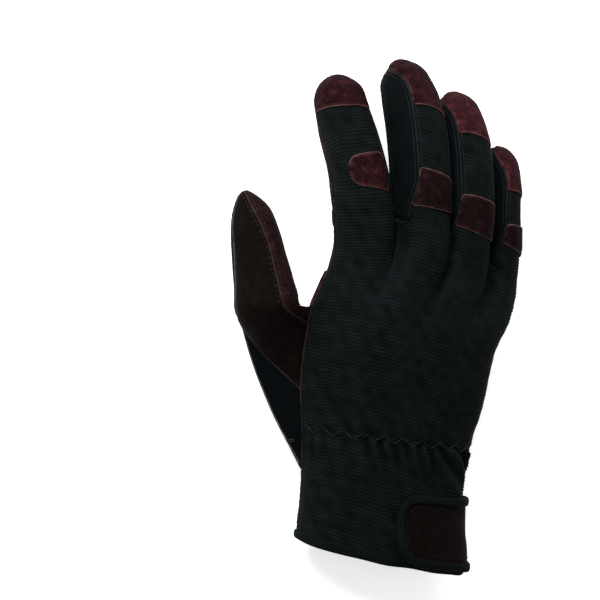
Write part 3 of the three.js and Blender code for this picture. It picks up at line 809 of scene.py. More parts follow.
@dataclass
class Sheet:
    """A welded surface with its marks, its faces and the outward direction at every point."""

    points: Grid
    faces: Grid
    marks: dict[str, Grid]

    @classmethod
    def of(cls, patches: Sequence[Patch]) -> "Sheet":
        """Patches welded along their borders.

        Args:
            patches: the patches, all with the same marks.

        Returns:
            The sheet.
        """
        faces, start = [], 0
        for patch in patches:
            rows, columns = patch.points.shape[:2]
            faces.append(grid_faces(start + np.arange(rows * columns).reshape(rows, columns)))
            start += rows * columns
        points = np.vstack([patch.points.reshape(-1, 3) for patch in patches])
        first, corners = welded(points, np.vstack(faces))
        names = patches[0].marks
        marks = {k: np.concatenate([p.marks[k].reshape(-1) for p in patches])[first] for k in names}
        return cls(points[first], corners, marks)

    @classmethod
    def looped(cls, rings: Grid, along: Grid, across: Grid) -> "Sheet":
        """A tape whose rows and columns both close on themselves.

        Args:
            rings: millimetre points, ring by ring.
            along: the place of each ring.
            across: the place of each point round the ring.

        Returns:
            The tape.
        """
        rings[..., 2] = np.maximum(rings[..., 2], LOWEST)
        rows, sides = rings.shape[:2]
        number = np.arange(rows * sides).reshape(rows, sides)
        marks = {
            "along": np.repeat(along, sides),
            "across": np.tile(across, rows),
            "edge": np.full(rows * sides, EDGE_REACH / 2),
        }
        return cls(rings.reshape(-1, 3), grid_faces(np.pad(number, (0, 1), mode="wrap")), marks)

    @cached_property
    def normals(self) -> Grid:
        """Outward directions: the crossed diagonals of the faces with three corners apart, summed."""
        a, b, c, d = self.faces.T
        apart = 4 - (a == b).astype(int) - (b == c) - (c == d) - (d == a)
        p, f = self.points, self.faces[(apart >= 3) & (a != c) & (b != d)]
        crossed = np.cross(p[f[:, 2]] - p[f[:, 0]], p[f[:, 3]] - p[f[:, 1]])
        total = np.zeros_like(p)
        for k in range(4):
            for axis in range(3):
                total[:, axis] += np.bincount(f[:, k], crossed[:, axis], len(p))
        return unit(total)

    def lifted(self, height: Grid) -> Grid:
        """Points moved outwards by a height, none under the floor."""
        out = self.points + self.normals * np.asarray(height)[..., None]
        out[:, 2] = np.maximum(out[:, 2], LOWEST)
        return out

    def lined(self, height: Grid, marks: Mapping[str, Grid], inner: "Sheet | None" = None) -> "Sheet":
        """The sheet at a height, with the cloth's inner face behind it, turned to the hollow.

        Args:
            height: millimetres over the sheet.
            marks: the outer face's finished marks.
            inner: a coarser sheet for the inner face, or the same one.

        Returns:
            Both faces as one sheet.
        """
        inner = self if inner is None else inner
        blank = np.full(len(inner.points), INNER_MARK)
        behind = {k: inner.marks[k] if k in ("along", "across") else blank for k in marks}
        return Sheet(
            np.vstack([self.lifted(height), inner.lifted(-INNER_FACE)]),
            np.vstack([self.faces, inner.faces[:, ::-1] + len(self.points)]),
            {k: np.concatenate([mark, behind[k]]) for k, mark in marks.items()},
        )


class Workshop:
    """Turns finished sheets into the pieces of the scene."""

    @staticmethod
    def piece(
        name: str, sheet: Sheet, finish: bpy.types.Material, slot: Slot, *nodes: str
    ) -> bpy.types.Object:
        """Makes one piece, rides it on the body and says which nodes it stands for.

        Args:
            name: the piece's name.
            sheet: its skin; a face's repeated corner makes a triangle. The marks "along" and "across"
                become its cloth map, and the others are stored at its points.
            finish: its material.
            slot: the record's slot; not used.
            nodes: the nodes that it replaces.

        Returns:
            The new object.
        """
        loops, sizes = Workshop.corners(sheet.faces)
        places = (sheet.points + np.array(FRAME_SHIFT)) * MILLIMETRE
        mesh = bpy.data.meshes.new(name)
        mesh.vertices.add(len(places))
        mesh.vertices.foreach_set("co", places.astype(np.float32).ravel())
        mesh.loops.add(len(loops))
        mesh.loops.foreach_set("vertex_index", loops.astype(np.int32))
        mesh.polygons.add(len(sizes))
        starts = np.concatenate([[0], np.cumsum(sizes)[:-1]])
        mesh.polygons.foreach_set("loop_start", starts.astype(np.int32))
        mesh.polygons.foreach_set("use_smooth", np.ones(len(sizes), bool))
        mesh.update(calc_edges=True)
        mesh.validate()
        marks = dict(sheet.marks)
        if "along" in marks:
            cloth = np.stack([marks.pop("across"), marks.pop("along")], -1)[loops] * MILLIMETRE
            mesh.uv_layers.new(name="cloth").data.foreach_set("uv", cloth.astype(np.float32).ravel())
        for key, values in marks.items():
            mesh.attributes.new(key, "FLOAT", "POINT").data.foreach_set("value", values.astype(np.float32))
        mesh.materials.append(finish)
        piece = bpy.data.objects.new(name, mesh)
        bpy.context.scene.collection.objects.link(piece)
        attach(piece, "root")
        if nodes:
            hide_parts(*nodes)
        log.info("%s: %d points, %d faces", name, len(places), len(sizes))
        return piece

    @staticmethod
    def corners(faces: Grid) -> tuple[Grid, Grid]:
        """Corners of all faces in one row, with repeats left out, and how many each face has.

        Args:
            faces: four corners a face.

        Returns:
            The corners and the counts.
        """
        keep = faces != np.roll(faces, 1, axis=1)
        sizes = keep.sum(1)
        good = sizes >= 3
        return faces[good][keep[good]], sizes[good]


class Threadwork:
    """Stitches, seam cords and other thin round work, gathered into one piece for each thread."""

    def __init__(self) -> None:
        """Starts with nothing sewn."""
        self.points: list[Grid] = []
        self.faces: list[Grid] = []
        self.count = 0

    def add(self, points: Grid) -> None:
        """Adds grids of points.

        Args:
            points: the second axis runs along, and the third round and closed.
        """
        number = self.count + np.arange(points.size // 3).reshape(points.shape[:3])
        self.points.append(points.reshape(-1, 3))
        self.faces.append(grid_faces(np.pad(number, ((0, 0), (0, 0), (0, 1)), mode="wrap")))
        self.count += points.size // 3

    def stitches(self, starts: Grid, ends: Grid, normals: Grid, radius: float, arch: float) -> None:
        """Short threads from starts to ends: round rings that narrow at both ends, arched by 1 - x^2.

        Args:
            starts: first end of each stitch.
            ends: other end of each stitch.
            normals: outward direction at each stitch.
            radius: thickness of the thread.
            arch: how far the middle stands above the ends.
        """
        along = (ends - starts)[:, None, None, :]
        up = normals[:, None, None, :]
        side = unit(np.cross(up, along))
        x = np.array([-1.0, -0.8, -0.3, 0.3, 0.8, 1.0])[None, :, None, None]
        width = radius * np.array([0.02, 0.75, 1.0, 1.0, 0.75, 0.02])[None, :, None, None]
        turn = np.linspace(0, 2 * np.pi, 6, endpoint=False)[None, None, :, None]
        middle = ((starts + ends) / 2)[:, None, None, :] + along / 2 * x
        arched = middle + up * (arch * (1 - x**2) - 0.4 * arch)
        self.add(arched + width * (np.cos(turn) * side + np.sin(turn) * up))

    def row(self, line: Line, pitch: float, share: float, radius: float) -> None:
        """A row of stitches along a line.

        Args:
            line: where the row runs.
            pitch: from one stitch to the next.
            share: how much of the pitch the stitch covers.
            radius: thickness of the thread.
        """
        count = max(1, int(line.along[-1] / pitch))
        begin = np.arange(count) * (line.along[-1] / count)
        starts, normals = line.at(begin)
        self.stitches(starts, line.at(begin + pitch * share)[0], normals, radius, 0.22)

    def zigzag(self, line: Line, pitch: float, half: float, radius: float) -> None:
        """Stitches that cross a line from side to side.

        Args:
            line: the middle of the zigzag.
            pitch: length of a whole zigzag.
            half: how far it swings to each side.
            radius: thickness of the thread.
        """
        number = np.arange(int(line.along[-1] / pitch * 2) + 1)
        middle = Line(*line.at(number * pitch / 2))
        points = middle.points + middle.sideways * (half * (-1.0) ** number)[:, None]
        self.stitches(points[:-1], points[1:], middle.normals[:-1], radius, 0.3)

    def cord(self, line: Line, radius: float, flatness: float = 1.0) -> None:
        """A round cord laid along a line, its ends drawn to a point.

        Args:
            line: where it lies.
            radius: half its width.
            flatness: height as a share of its width.
        """
        line = line.evened(0.7)
        from_end = np.minimum(line.along, line.along[-1] - line.along)
        width = radius * np.sqrt(np.clip(from_end / (2 * radius), 0.0004, 1))[:, None, None]
        turn = np.linspace(0, 2 * np.pi, 8, endpoint=False)[None, :, None]
        ring = np.cos(turn) * line.sideways[:, None] + flatness * np.sin(turn) * line.normals[:, None]
        self.add((line.points[:, None] + width * ring)[None])

    def cords(self, *table: tuple[Line, float, float, float]) -> None:
        """Lays cords, each given by its line, height over it, radius and flatness."""
        for line, height, radius, flatness in table:
            self.cord(line.raised(height), radius, flatness)

    def finish(self, name: str, finish: bpy.types.Material, slot: Slot) -> bpy.types.Object:
        """Makes the piece."""
        return Workshop.piece(name, Sheet(np.vstack(self.points), np.vstack(self.faces), {}), finish, slot)


class Value:
    """A number that a node gives, for use in sums."""

    def __init__(self, recipe: "Recipe", socket: bpy.types.NodeSocket) -> None:
        """Wraps an output of a node of the recipe."""
        self.recipe = recipe
        self.socket = socket

    def _math(self, operation: str, first: object, second: object) -> "Value":
        """One Math node."""
        node = self.recipe.node("ShaderNodeMath", {"operation": operation}, {0: first, 1: second})
        return Value(self.recipe, node.outputs[0])

    def __add__(self, other: object) -> "Value":
        """Sum."""
        return self._math("ADD", self, other)

    def __sub__(self, other: object) -> "Value":
        """Difference."""
        return self._math("SUBTRACT", self, other)

    def __rsub__(self, other: object) -> "Value":
        """Difference the other way."""
        return self._math("SUBTRACT", other, self)

    def __mul__(self, other: object) -> "Value":
        """Product."""
        return self._math("MULTIPLY", self, other)

    __radd__ = __add__
    __rmul__ = __mul__

    def sine(self) -> "Value":
        """Sine of the value."""
        return self._math("SINE", self, 0.0)

    def band(self, low: float, high: float) -> "Value":
        """0 below low, 1 above high and a soft rise between."""
        ends = {"Value": self, "From Min": low, "From Max": high}
        node = self.recipe.node("ShaderNodeMapRange", {"interpolation_type": "SMOOTHSTEP"}, ends)
        return Value(self.recipe, node.outputs[0])


class Recipe:
    """The node tree of one material."""

    def __init__(self, name: str, constants: Mapping[str, object]) -> None:
        """Starts a material.

        Args:
            name: the material's name.
            constants: shader values that are the same everywhere.
        """
        self.material = bpy.data.materials.new(name)
        self.material.use_nodes = True
        self.tree = self.material.node_tree
        self.tree.nodes.clear()
        self.shader = self.node("ShaderNodeBsdfPrincipled", {}, constants)
        self.node("ShaderNodeOutputMaterial", {}, {"Surface": self.shader.outputs[0]})

    def node(self, kind: str, settings: Mapping[str, object], values: Mapping) -> bpy.types.Node:
        """Adds a node.

        Args:
            kind: the node's type.
            settings: its own settings, set first.
            values: values or links of its sockets, by name or number.

        Returns:
            The node.
        """
        node = self.tree.nodes.new(kind)
        for key, value in settings.items():
            setattr(node, key, value)
        for key, value in values.items():
            value = value.socket if isinstance(value, Value) else value
            if isinstance(value, bpy.types.NodeSocket):
                self.tree.links.new(value, node.inputs[key])
            else:
                node.inputs[key].default_value = value
        return node

    @cached_property
    def place(self) -> bpy.types.NodeSocket:
        """Object coordinates."""
        return self.node("ShaderNodeTexCoord", {}, {}).outputs["Object"]

    @cached_property
    def cloth(self) -> tuple[Value, Value]:
        """Across and along the cloth, in metres."""
        cloth = self.node("ShaderNodeUVMap", {"uv_map": "cloth"}, {})
        parts = self.node("ShaderNodeSeparateXYZ", {}, {0: cloth.outputs[0]})
        return Value(self, parts.outputs[0]), Value(self, parts.outputs[1])

    def noise(self, size: float, detail: float, stretch: tuple = (1, 1, 1)) -> Value:
        """Cloudy noise on Object coordinates.

        Args:
            size: size of a cloud in millimetres.
            detail: levels of finer noise.
            stretch: scales of the three directions.

        Returns:
            The noise, about 0.3 to 0.7.
        """
        where = self.node("ShaderNodeMapping", {}, {"Vector": self.place, "Scale": stretch})
        values = {"Vector": where.outputs[0], "Scale": 1000.0 / size, "Detail": detail, "Roughness": 0.6}
        return Value(self, self.node("ShaderNodeTexNoise", {}, values).outputs[0])

    def grain(self, size: float) -> Value:
        """Cells of leather grain: distance to the nearest cell's middle."""
        values = {"Vector": self.place, "Scale": 1000.0 / size}
        return Value(self, self.node("ShaderNodeTexVoronoi", {"feature": "F1"}, values).outputs[0])

    def mark(self, name: str) -> Value:
        """A value stored at the piece's points."""
        return Value(self, self.node("ShaderNodeAttribute", {"attribute_name": name}, {}).outputs["Fac"])

    @staticmethod
    def tinted(*tone: float) -> tuple[float, ...]:
        """A colour given as it looks on a screen, 0 to 255, in the shader's linear scale."""
        value = np.array(tone) / 255
        return *np.where(value <= 0.04045, value / 12.92, ((value + 0.055) / 1.055) ** 2.4).tolist(), 1.0

    def blend(self, share: Value, *tones: object) -> bpy.types.NodeSocket:
        """A colour between two, each a link or a colour on a screen."""
        first, second = (self.tinted(*tone) if isinstance(tone, tuple) else tone for tone in tones)
        return self.node("ShaderNodeMix", {"data_type": "RGBA"}, {0: share, 6: first, 7: second}).outputs[2]

    def dress(self, colour: object, roughness: Value, height: Value, depth: float) -> bpy.types.Material:
        """Feeds the shader.

        Args:
            colour: base colour.
            roughness: roughness.
            height: relief for the bump, 0 to 1.
            depth: depth of the relief in millimetres.

        Returns:
            The material.
        """
        relief = {"Strength": 0.85, "Distance": depth * MILLIMETRE, "Height": height}
        bump = self.node("ShaderNodeBump", {}, relief).outputs[0]
        for name, source in (("Base Color", colour), ("Roughness", roughness.socket), ("Normal", bump)):
            self.tree.links.new(source, self.shader.inputs[name])
        return self.material


@dataclass(frozen=True)
class StretchCloth:
    """Knitted stretch cloth: fine loops, mottled black, with a soft sheen."""

    name: str
    deep: tuple
    lit: tuple
    ribbed: bool = False
    loop: float = 0.55
    roughness: float = 0.82

    def material(self) -> bpy.types.Material:
        """Loops are the product of two sines across and along the cloth; ribs are lit on their crowns by a
        painted highlight, and the crown mark also paints shade into the pleats' hollows.

        Returns:
            The material.
        """
        sheen = {"Sheen Weight": 0.004, "Sheen Roughness": 0.45, "Sheen Tint": (0.75, 0.9, 0.95, 1.0)}
        recipe = Recipe(self.name, {**sheen, "Specular IOR Level": 0.02})
        across, along = recipe.cloth
        turn = 2 * math.pi / MILLIMETRE / self.loop
        loops = (across * turn).sine() * (along * turn * 0.5).sine() * 0.5 + 0.5
        fuzz = recipe.noise(0.5, 3.0)
        clouds = recipe.noise(14.0, 4.0).band(0.3, 0.7)
        if self.ribbed:
            # Ribbed cloth: the crown mark is painted light, with highlights on the rib crowns and shade in the
            # pleats' hollows.
            share = recipe.mark("crown") * (0.45 + fuzz * 0.25 + loops * 0.15) + clouds * 0.18
        else:
            share = loops * 0.25 + fuzz * 0.3 + clouds * 0.4
        colour = recipe.blend(share, self.deep, self.lit)
        return recipe.dress(colour, self.roughness + (fuzz - 0.5) * 0.2, loops * 0.7 + fuzz * 0.6, 0.16)


@dataclass(frozen=True)
class SplitLeather:
    """Napped split leather: mottled, with a fibrous nap, pores, and edges rubbed paler."""

    name: str
    deep: tuple
    lit: tuple
    rubbed: tuple
    wear: float = 0.5
    roughness: float = 0.78

    def material(self) -> bpy.types.Material:
        """Mottling and nap are three sizes of cloudy noise; wear grows towards the edges.

        Returns:
            The material.
        """
        sheen = {"Sheen Weight": 0.004, "Sheen Roughness": 0.4, "Sheen Tint": (1.0, 0.85, 0.82, 1.0)}
        recipe = Recipe(self.name, {**sheen, "Specular IOR Level": 0.02})
        mottle = recipe.noise(3.6, 6.0)
        clouds = recipe.noise(15.0, 3.0)
        nap = recipe.noise(0.7, 4.0, (1.0, 0.55, 1.0))
        share = mottle.band(0.38, 0.66) * 0.55 + clouds.band(0.35, 0.65) * 0.25 + nap.band(0.35, 0.65) * 0.3
        near = (1 - recipe.mark("edge").band(0.2, 1.5)) * mottle.band(0.3, 0.6)
        worn = (near + mottle.band(0.56, 0.75) * 0.6) * self.wear
        colour = recipe.blend(worn, recipe.blend(share, self.deep, self.lit), self.rubbed)
        relief = nap * 0.6 + recipe.grain(0.9) * 0.4 + mottle * 0.5
        return recipe.dress(colour, self.roughness + (mottle - 0.5) * 0.25, relief, 0.3)


@dataclass(frozen=True)
class Thread:
    """Twisted thread or a cut edge: one colour with a fine twist."""

    name: str
    deep: tuple
    lit: tuple
    roughness: float = 0.6

    def material(self) -> bpy.types.Material:
        """A cloudy change of tone over a fine twist.

        Returns:
            The material.
        """
        recipe = Recipe(self.name, {"Specular IOR Level": 0.04, "Sheen Weight": 0.004})
        twist = recipe.noise(0.35, 2.0)
        share = recipe.noise(3.0, 3.0).band(0.3, 0.7) * 0.6 + twist * 0.4
        colour = recipe.blend(share, self.deep, self.lit)
        return recipe.dress(colour, self.roughness + (twist - 0.5) * 0.2, twist, 0.12)


class Seams:
    """All seams of the skin as lines, worked out once."""

    def __init__(self) -> None:
        """Lays out the lines."""
        down, bay = np.linspace(1, 179, 120), np.linspace(181, 359, 160)
        low = THUMB_HOLE_TOP - THUMB_HOLE_SPAN * down / 180
        high = THUMB_HOLE_BOTTOM + THUMB_HOLE_SPAN * (bay - 180) / 180
        self.thumb_side_wrist = line_on(HAND.wrist, np.linspace(0, THUMB_HOLE_BOTTOM, 40), THUMB_SIDE_SEAM)
        self.index_side = self.outer(INDEX, np.linspace(THUMB_HOLE_TOP, 1, 50), 0)
        self.little_side = self.outer(LITTLE, np.linspace(0, 1, 160), 1)
        out_of_hand = outward(HAND.loft, low, np.full_like(low, THUMB_SIDE_SEAM))
        self.hole_back = Line(HAND.hole_edge(down), out_of_hand)
        self.thenar = Line(HAND.hole_edge(bay), outward(HAND.loft, high, HAND.bay(high)))
        both = [(side, *pair) for pair in PAIRS for side in Side]
        self.gussets = {
            (side, left.digit.name): (self.up_finger(left, side, 1), self.up_finger(right, side, 0))
            for side, left, right in both
        }
        self.crotches = {(side, left.digit.name): self.crotch(side, left, right) for side, left, right in both}
        self.thumb = {station: self.thumb_seam(station) for station in (1, 5, 13)}
        self.thumb_outline = self.outline()

    @staticmethod
    def up_finger(finger: Finger, side: Side, end: int) -> Line:
        """The first or last seam of a finger's back or palm, from the root to the tip."""
        s = np.linspace(0, finger.digit.length - 0.05, 140)
        return line_on(finger.digit.skin, s, finger.span(side, s)[end])

    @classmethod
    def outer(cls, finger: Finger, v: Grid, end: int) -> Line:
        """A side seam of the hand, with its finger's.

        Args:
            finger: the outermost finger.
            v: heights on the hand.
            end: 0 on the thumb side, 1 on the little finger's.

        Returns:
            The line.
        """
        normals = outward(HAND.loft, v, np.full_like(v, finger.back[end]))
        root = Line(HAND.on_finger(Side.BACK, finger, v, end), normals)
        return joined(root, cls.up_finger(finger, Side.BACK, end))

    @staticmethod
    def crotch(side: Side, left: Finger, right: Finger) -> Line:
        """The chord between two fingers on one side of the hand.

        Args:
            side: back or palm.
            left: the finger on the thumb side.
            right: its neighbour.

        Returns:
            The line.
        """
        share = np.linspace(0, 1, 12)
        points = HAND.between(side, left, right, 1.0, share)
        normal = unit(np.array([0.0, 0.6, 1.0 if side is Side.BACK else -1.0]))
        return Line(points, np.repeat(normal[None], len(points), 0))

    @staticmethod
    def thumb_seam(station: float) -> Line:
        """A seam of the thumb from the hole to the tip."""
        root = line_on(THUMB_SEAMS.root, np.linspace(0.0, 0.98, 50), station)
        return joined(root, line_on(THUMB_SEAMS.tube, np.linspace(0, THUMB.length - 0.05, 120), station))

    @staticmethod
    def outline() -> Line:
        """The edge seam that runs from the thumb's tip round its root to the lower end of the hole.

        Returns:
            The line.
        """
        s, share = np.linspace(THUMB.length - 0.05, 0.4, 90), np.linspace(1.0, 0.02, 110)
        table = np.array(THUMB_EDGE, float)
        tube = line_on(THUMB_SEAMS.tube, s, mixed(3.85, 3.3, smooth_step(s / THUMB.length)))
        return joined(tube, line_on(THUMB_SEAMS.root, share, through_rows(table[:, 0], table, share)[..., 1]))

    def round_panel(self, side: Side) -> list[Line]:
        """Seams round the back or the palm panel.

        Args:
            side: back or palm.

        Returns:
            The lines.
        """
        hole = self.hole_back if side is Side.BACK else self.thenar
        gussets = [line for (face, _), lines in self.gussets.items() for line in lines if face is side]
        crotches = [line for (face, _), line in self.crotches.items() if face is side]
        return [self.thumb_side_wrist, self.index_side, self.little_side, hole, *gussets, *crotches]

    def round_thumb(self) -> list[Line]:
        """Seams of the thumb."""
        return [self.hole_back, self.thenar, self.thumb_outline, *self.thumb.values()]


@dataclass(frozen=True)
class Relief:
    """How cloth or leather lies: seams draw it in, and it puckers beside the stitches."""

    groove: float = 0.5
    groove_width: float = 0.9
    pucker: float = 0.08
    stitch: float = 3.2

    def at(self, distance: Grid, along: Grid) -> Grid:
        """Height beside a seam: a bell-shaped groove and a cosine pucker next to it.

        Args:
            distance: millimetres from the seam.
            along: millimetres along it.

        Returns:
            The height in millimetres.
        """
        pucker = self.pucker * bell(distance - 1.8, 1.5) * np.cos(2 * np.pi * along / self.stitch)
        return -self.groove * bell(distance, self.groove_width) + pucker


CLOTH_RELIEF = Relief()
LEATHER_RELIEF = Relief(0.6, 1.0, 0.1)
THUMB_RELIEF = Relief(0.55, 1.0, 0.1)


def finger_rows(finger: Finger, step: float) -> Grid:
    """Distances of the rows along a finger, closer together in the rounded tip by a sine.

    Args:
        finger: the finger.
        step: distance from row to row on its straight part.

    Returns:
        Millimetres from the root.
    """
    straight = finger.digit.length - finger.digit.tip
    turns = np.linspace(0, np.pi / 2, max(8, int(10 / step)))
    return np.concatenate([np.arange(0, straight, step), straight + finger.digit.tip * np.sin(turns)])


def panel(side: Side, step: float) -> Sheet:
    """The back or palm panel: the hand in strips below the fingers and the crotches, and the fingers.

    Args:
        side: back or palm.
        step: distance from row to row.

    Returns:
        The sheet, facing out, with places along and across the cloth and the ribs' phase.
    """
    patches, base = [], 0.0
    v = spaced(HAND_RIBS * RIB_PITCH, step)[:, None]
    for columns, finger, surface in HAND.strips(side):
        share = np.linspace(0, 1, columns + 1)[None]
        across = base + share * columns * CLOTH_COLUMN
        hand = surface(v, share)
        patches.append(Patch.of(hand, along=v * HAND_LENGTH, across=across, phase=hand_phase(hand, v)))
        if finger is not None:
            s = finger_rows(finger, step)[:, None]
            tube = finger.digit.skin(s, finger.angle(side, s, share))
            phase = finger_phase(finger, s, share)
            patches.append(Patch.of(tube, along=HAND_LENGTH + s, across=across, phase=phase))
        base += columns * CLOTH_COLUMN
    return Sheet.of(patches if side is Side.BACK else [patch.turned() for patch in patches])


def hand_phase(points: Grid, v: Grid) -> Grid:
    """Ribs on the hand fall to the little finger by a fixed share of x, less and less near the roots."""
    fall = HAND_RIB_FALL * (1 - smooth_step((v - 0.7) / 0.3))
    return v * HAND_RIBS + fall * points[..., 0] / RIB_PITCH


def finger_phase(finger: Finger, s: Grid, share: Grid) -> Grid:
    """Ribs on a finger keep the slope that they have at its root: slant times across times 1 - left^2.

    Args:
        finger: the finger.
        s: distance from the root.
        share: the way across its back.

    Returns:
        The phase, one for each rib.
    """
    across, _ = rounded_section(finger.angle(Side.BACK, s, share), DIGIT_SQUARENESS)
    left = 1 - s / finger.digit.length
    return (s - RIB_SLOPE_KEPT * finger.digit.slant * across * (1 - left**2)) / RIB_PITCH


@dataclass(frozen=True)
class Back:
    """The ribbed back panel with its gathered wrist."""

    seams: Seams
    rib_height: float = 0.46
    inner_row: float = 2.4
    zigzag: float = 1.9
    pinch: float = 0.55
    pleat: float = 7.2

    def build(self, finish: bpy.types.Material) -> None:
        """Ribs are |sin|^0.7 of the row's phase; they fade into the seams and swell at the gathers. Their
        colour carries painted highlights on the crowns and painted shade in the pleats' hollows.

        Args:
            finish: ribbed cloth.
        """
        sheet = panel(Side.BACK, RIB_PITCH / ROWS_PER_RIB)
        p = sheet.points
        distance, along = nearest(p, self.seams.round_panel(Side.BACK))
        wobble = 0.1 * ripple(p, 30.0, 3) + 0.09 * ripple(p, 12.0, 4) + 0.08 * ripple(p, 5.0, 6)
        strength = np.clip(0.75 + 0.22 * ripple(p, 6.0, 8) + 0.07 * ripple(p, 16.0, 9), 0.3, 1.15)
        crown = np.abs(np.sin(np.pi * (sheet.marks["phase"] + wobble))) ** 0.7 * strength
        fade = smooth_step(distance / 1.5)
        pleats = self.gathers(sheet.marks["along"], sheet.marks["across"])
        height = self.rib_height * (crown - 0.4) * fade + 0.1 * ripple(p, 22.0, 5) + pleats
        marks = {
            "along": sheet.marks["along"],
            "across": sheet.marks["across"],
            # The crown mark paints light into the ribbed cloth's colour: a painted highlight on each rib's
            # crown, fading by the seams, and painted shade in the hollows of the wrist's pleats.
            "crown": crown * (0.35 + 0.65 * fade) * np.clip(1 + 0.55 * pleats, 0.15, 1.7),
            "edge": np.minimum(distance, EDGE_REACH),
        }
        both = sheet.lined(height + CLOTH_RELIEF.at(distance, along), marks, panel(Side.BACK, self.inner_row))
        Workshop.piece("ribbed_back", both, finish, Slot.RIBBED, "back_panel")

    def gathers(self, along: Grid, across: Grid) -> Grid:
        """The pinched zigzag at the wrist, and slanted sine pleats that die away from it by bells.

        Args:
            along: places along the cloth.
            across: places across it.

        Returns:
            The height in millimetres, greatest towards the little side.
        """
        off = along - GATHER_LINE * HAND_RIBS * RIB_PITCH
        under, over = np.clip(-off, 0, None), np.clip(off, 0, None)
        to_little = across / across.max()
        strength = (0.3 + 0.9 * to_little**1.6) * (1 - 0.75 * smooth_step((to_little - 0.84) / 0.1))
        zigzag = self.zigzag * (np.abs(((across / GATHER_PITCH) % 1.0) * 4 - 2) - 1)
        below = bell(under, 15) * smooth_step(-off / 2)
        above = bell(over, 7) * smooth_step(off / 2)
        slanted = across - 0.75 * to_little * under
        wave = np.sin(2 * np.pi * slanted / self.pleat + 1.4 * np.sin(across / 9.0))
        fine = 0.25 * np.sin(2 * np.pi * across / GATHER_PITCH * 2 + 0.6) * (below + above) ** 2
        return strength * wave * (2.1 * below + 0.5 * above) + fine - self.pinch * bell(off - zigzag, 1.5)


@dataclass(frozen=True)
class Palm:
    """The palm leather, which also makes the fingers' fronts."""

    seams: Seams
    inner_row: float = 3.0
    creases: tuple = ((151.0, 0.5), (158.0, 0.4), (40.0, 0.35), (96.0, 0.3))

    def build(self, finish: bpy.types.Material) -> None:
        """Leather lies a little proud, with soft waves and bell-shaped creases.

        Args:
            finish: palm leather.
        """
        sheet = panel(Side.PALM, PALM_ROW)
        p = sheet.points
        distance, along = nearest(p, self.seams.round_panel(Side.PALM))
        height = 0.3 + 0.16 * ripple(p, 18.0, 7) + 0.05 * ripple(p, 6.0, 8)
        for place, depth in self.creases:
            off = sheet.marks["along"] - (place + 2.2 * ripple(p, 34.0, int(place)))
            height = height - depth * bell(off, 1.3) * smooth_step(distance / 3)
        height = height + LEATHER_RELIEF.at(distance, along)
        marks = dict(sheet.marks, edge=np.minimum(distance, EDGE_REACH), crown=np.clip(height, 0, 1))
        both = sheet.lined(height, marks, panel(Side.PALM, self.inner_row))
        Workshop.piece("palm_leather", both, finish, Slot.PALM, "palm_panel")


@dataclass(frozen=True)
class Gusset:
    """The strip between two fingers: down one, round the crotch and up the other."""

    left: Finger
    right: Finger
    width: float = 24.0
    row: float = 1.1

    def patches(self) -> list[Patch]:
        """A tongue on each finger and the web between them.

        Returns:
            The patches, facing out.
        """
        u = np.linspace(0, 1, 23)
        push = WEB_REACH * (1 - (2 * u - 1) ** 2)
        out = []
        for finger, from_angle, sign in ((self.left, 0.0, 1.0), (self.right, 180.0, -1.0)):
            end = finger.digit.length - GUSSET_END
            s = mixed(push[None], end, spaced(end, self.row)[:, None])
            half = finger.gusset_half(s)
            turn = mixed(half * (finger.fullness if sign < 0 else 1.0), -half, u[None])
            tongue = finger.digit.skin(s, from_angle + sign * turn)
            patch = Patch.of(tongue, along=s, across=self.width * u[None])
            out.append(patch if sign > 0 else patch.turned())
        half = self.left.gusset_half(0.0)
        a = self.left.digit.on_row(push, mixed(half, -half, u))
        b = self.right.digit.on_row(push, 180 - mixed(self.right.fullness * half, -half, u))
        share = np.linspace(0, 1, 6)[None]
        web = rested(chord_with_sag(self.left, self.right, a[:, None], b[:, None], share), 0.0)
        out.append(Patch.of(web, along=3 * share, across=self.width * u[:, None]))
        return out

    def build(self, seams: Seams, finish: bpy.types.Material) -> None:
        """Smooth cloth that bellies out a little between its seams.

        Args:
            seams: the skin's seams.
            finish: smooth cloth.
        """
        left, right = self.left.digit.name, self.right.digit.name
        sheet = Sheet.of(self.patches())
        lines = [line for side in Side for line in seams.gussets[side, left]]
        distance, along = nearest(sheet.points, lines)
        height = 0.25 * smooth_step(distance / 4) + 0.12 * ripple(sheet.points, 12.0, 11)
        marks = dict(sheet.marks, edge=np.minimum(distance, EDGE_REACH))
        both = sheet.lined(height + CLOTH_RELIEF.at(distance, along), marks)
        Workshop.piece(f"side_cloth_{left}_{right}", both, finish, Slot.SMOOTH, f"gusset_{left}_{right}")


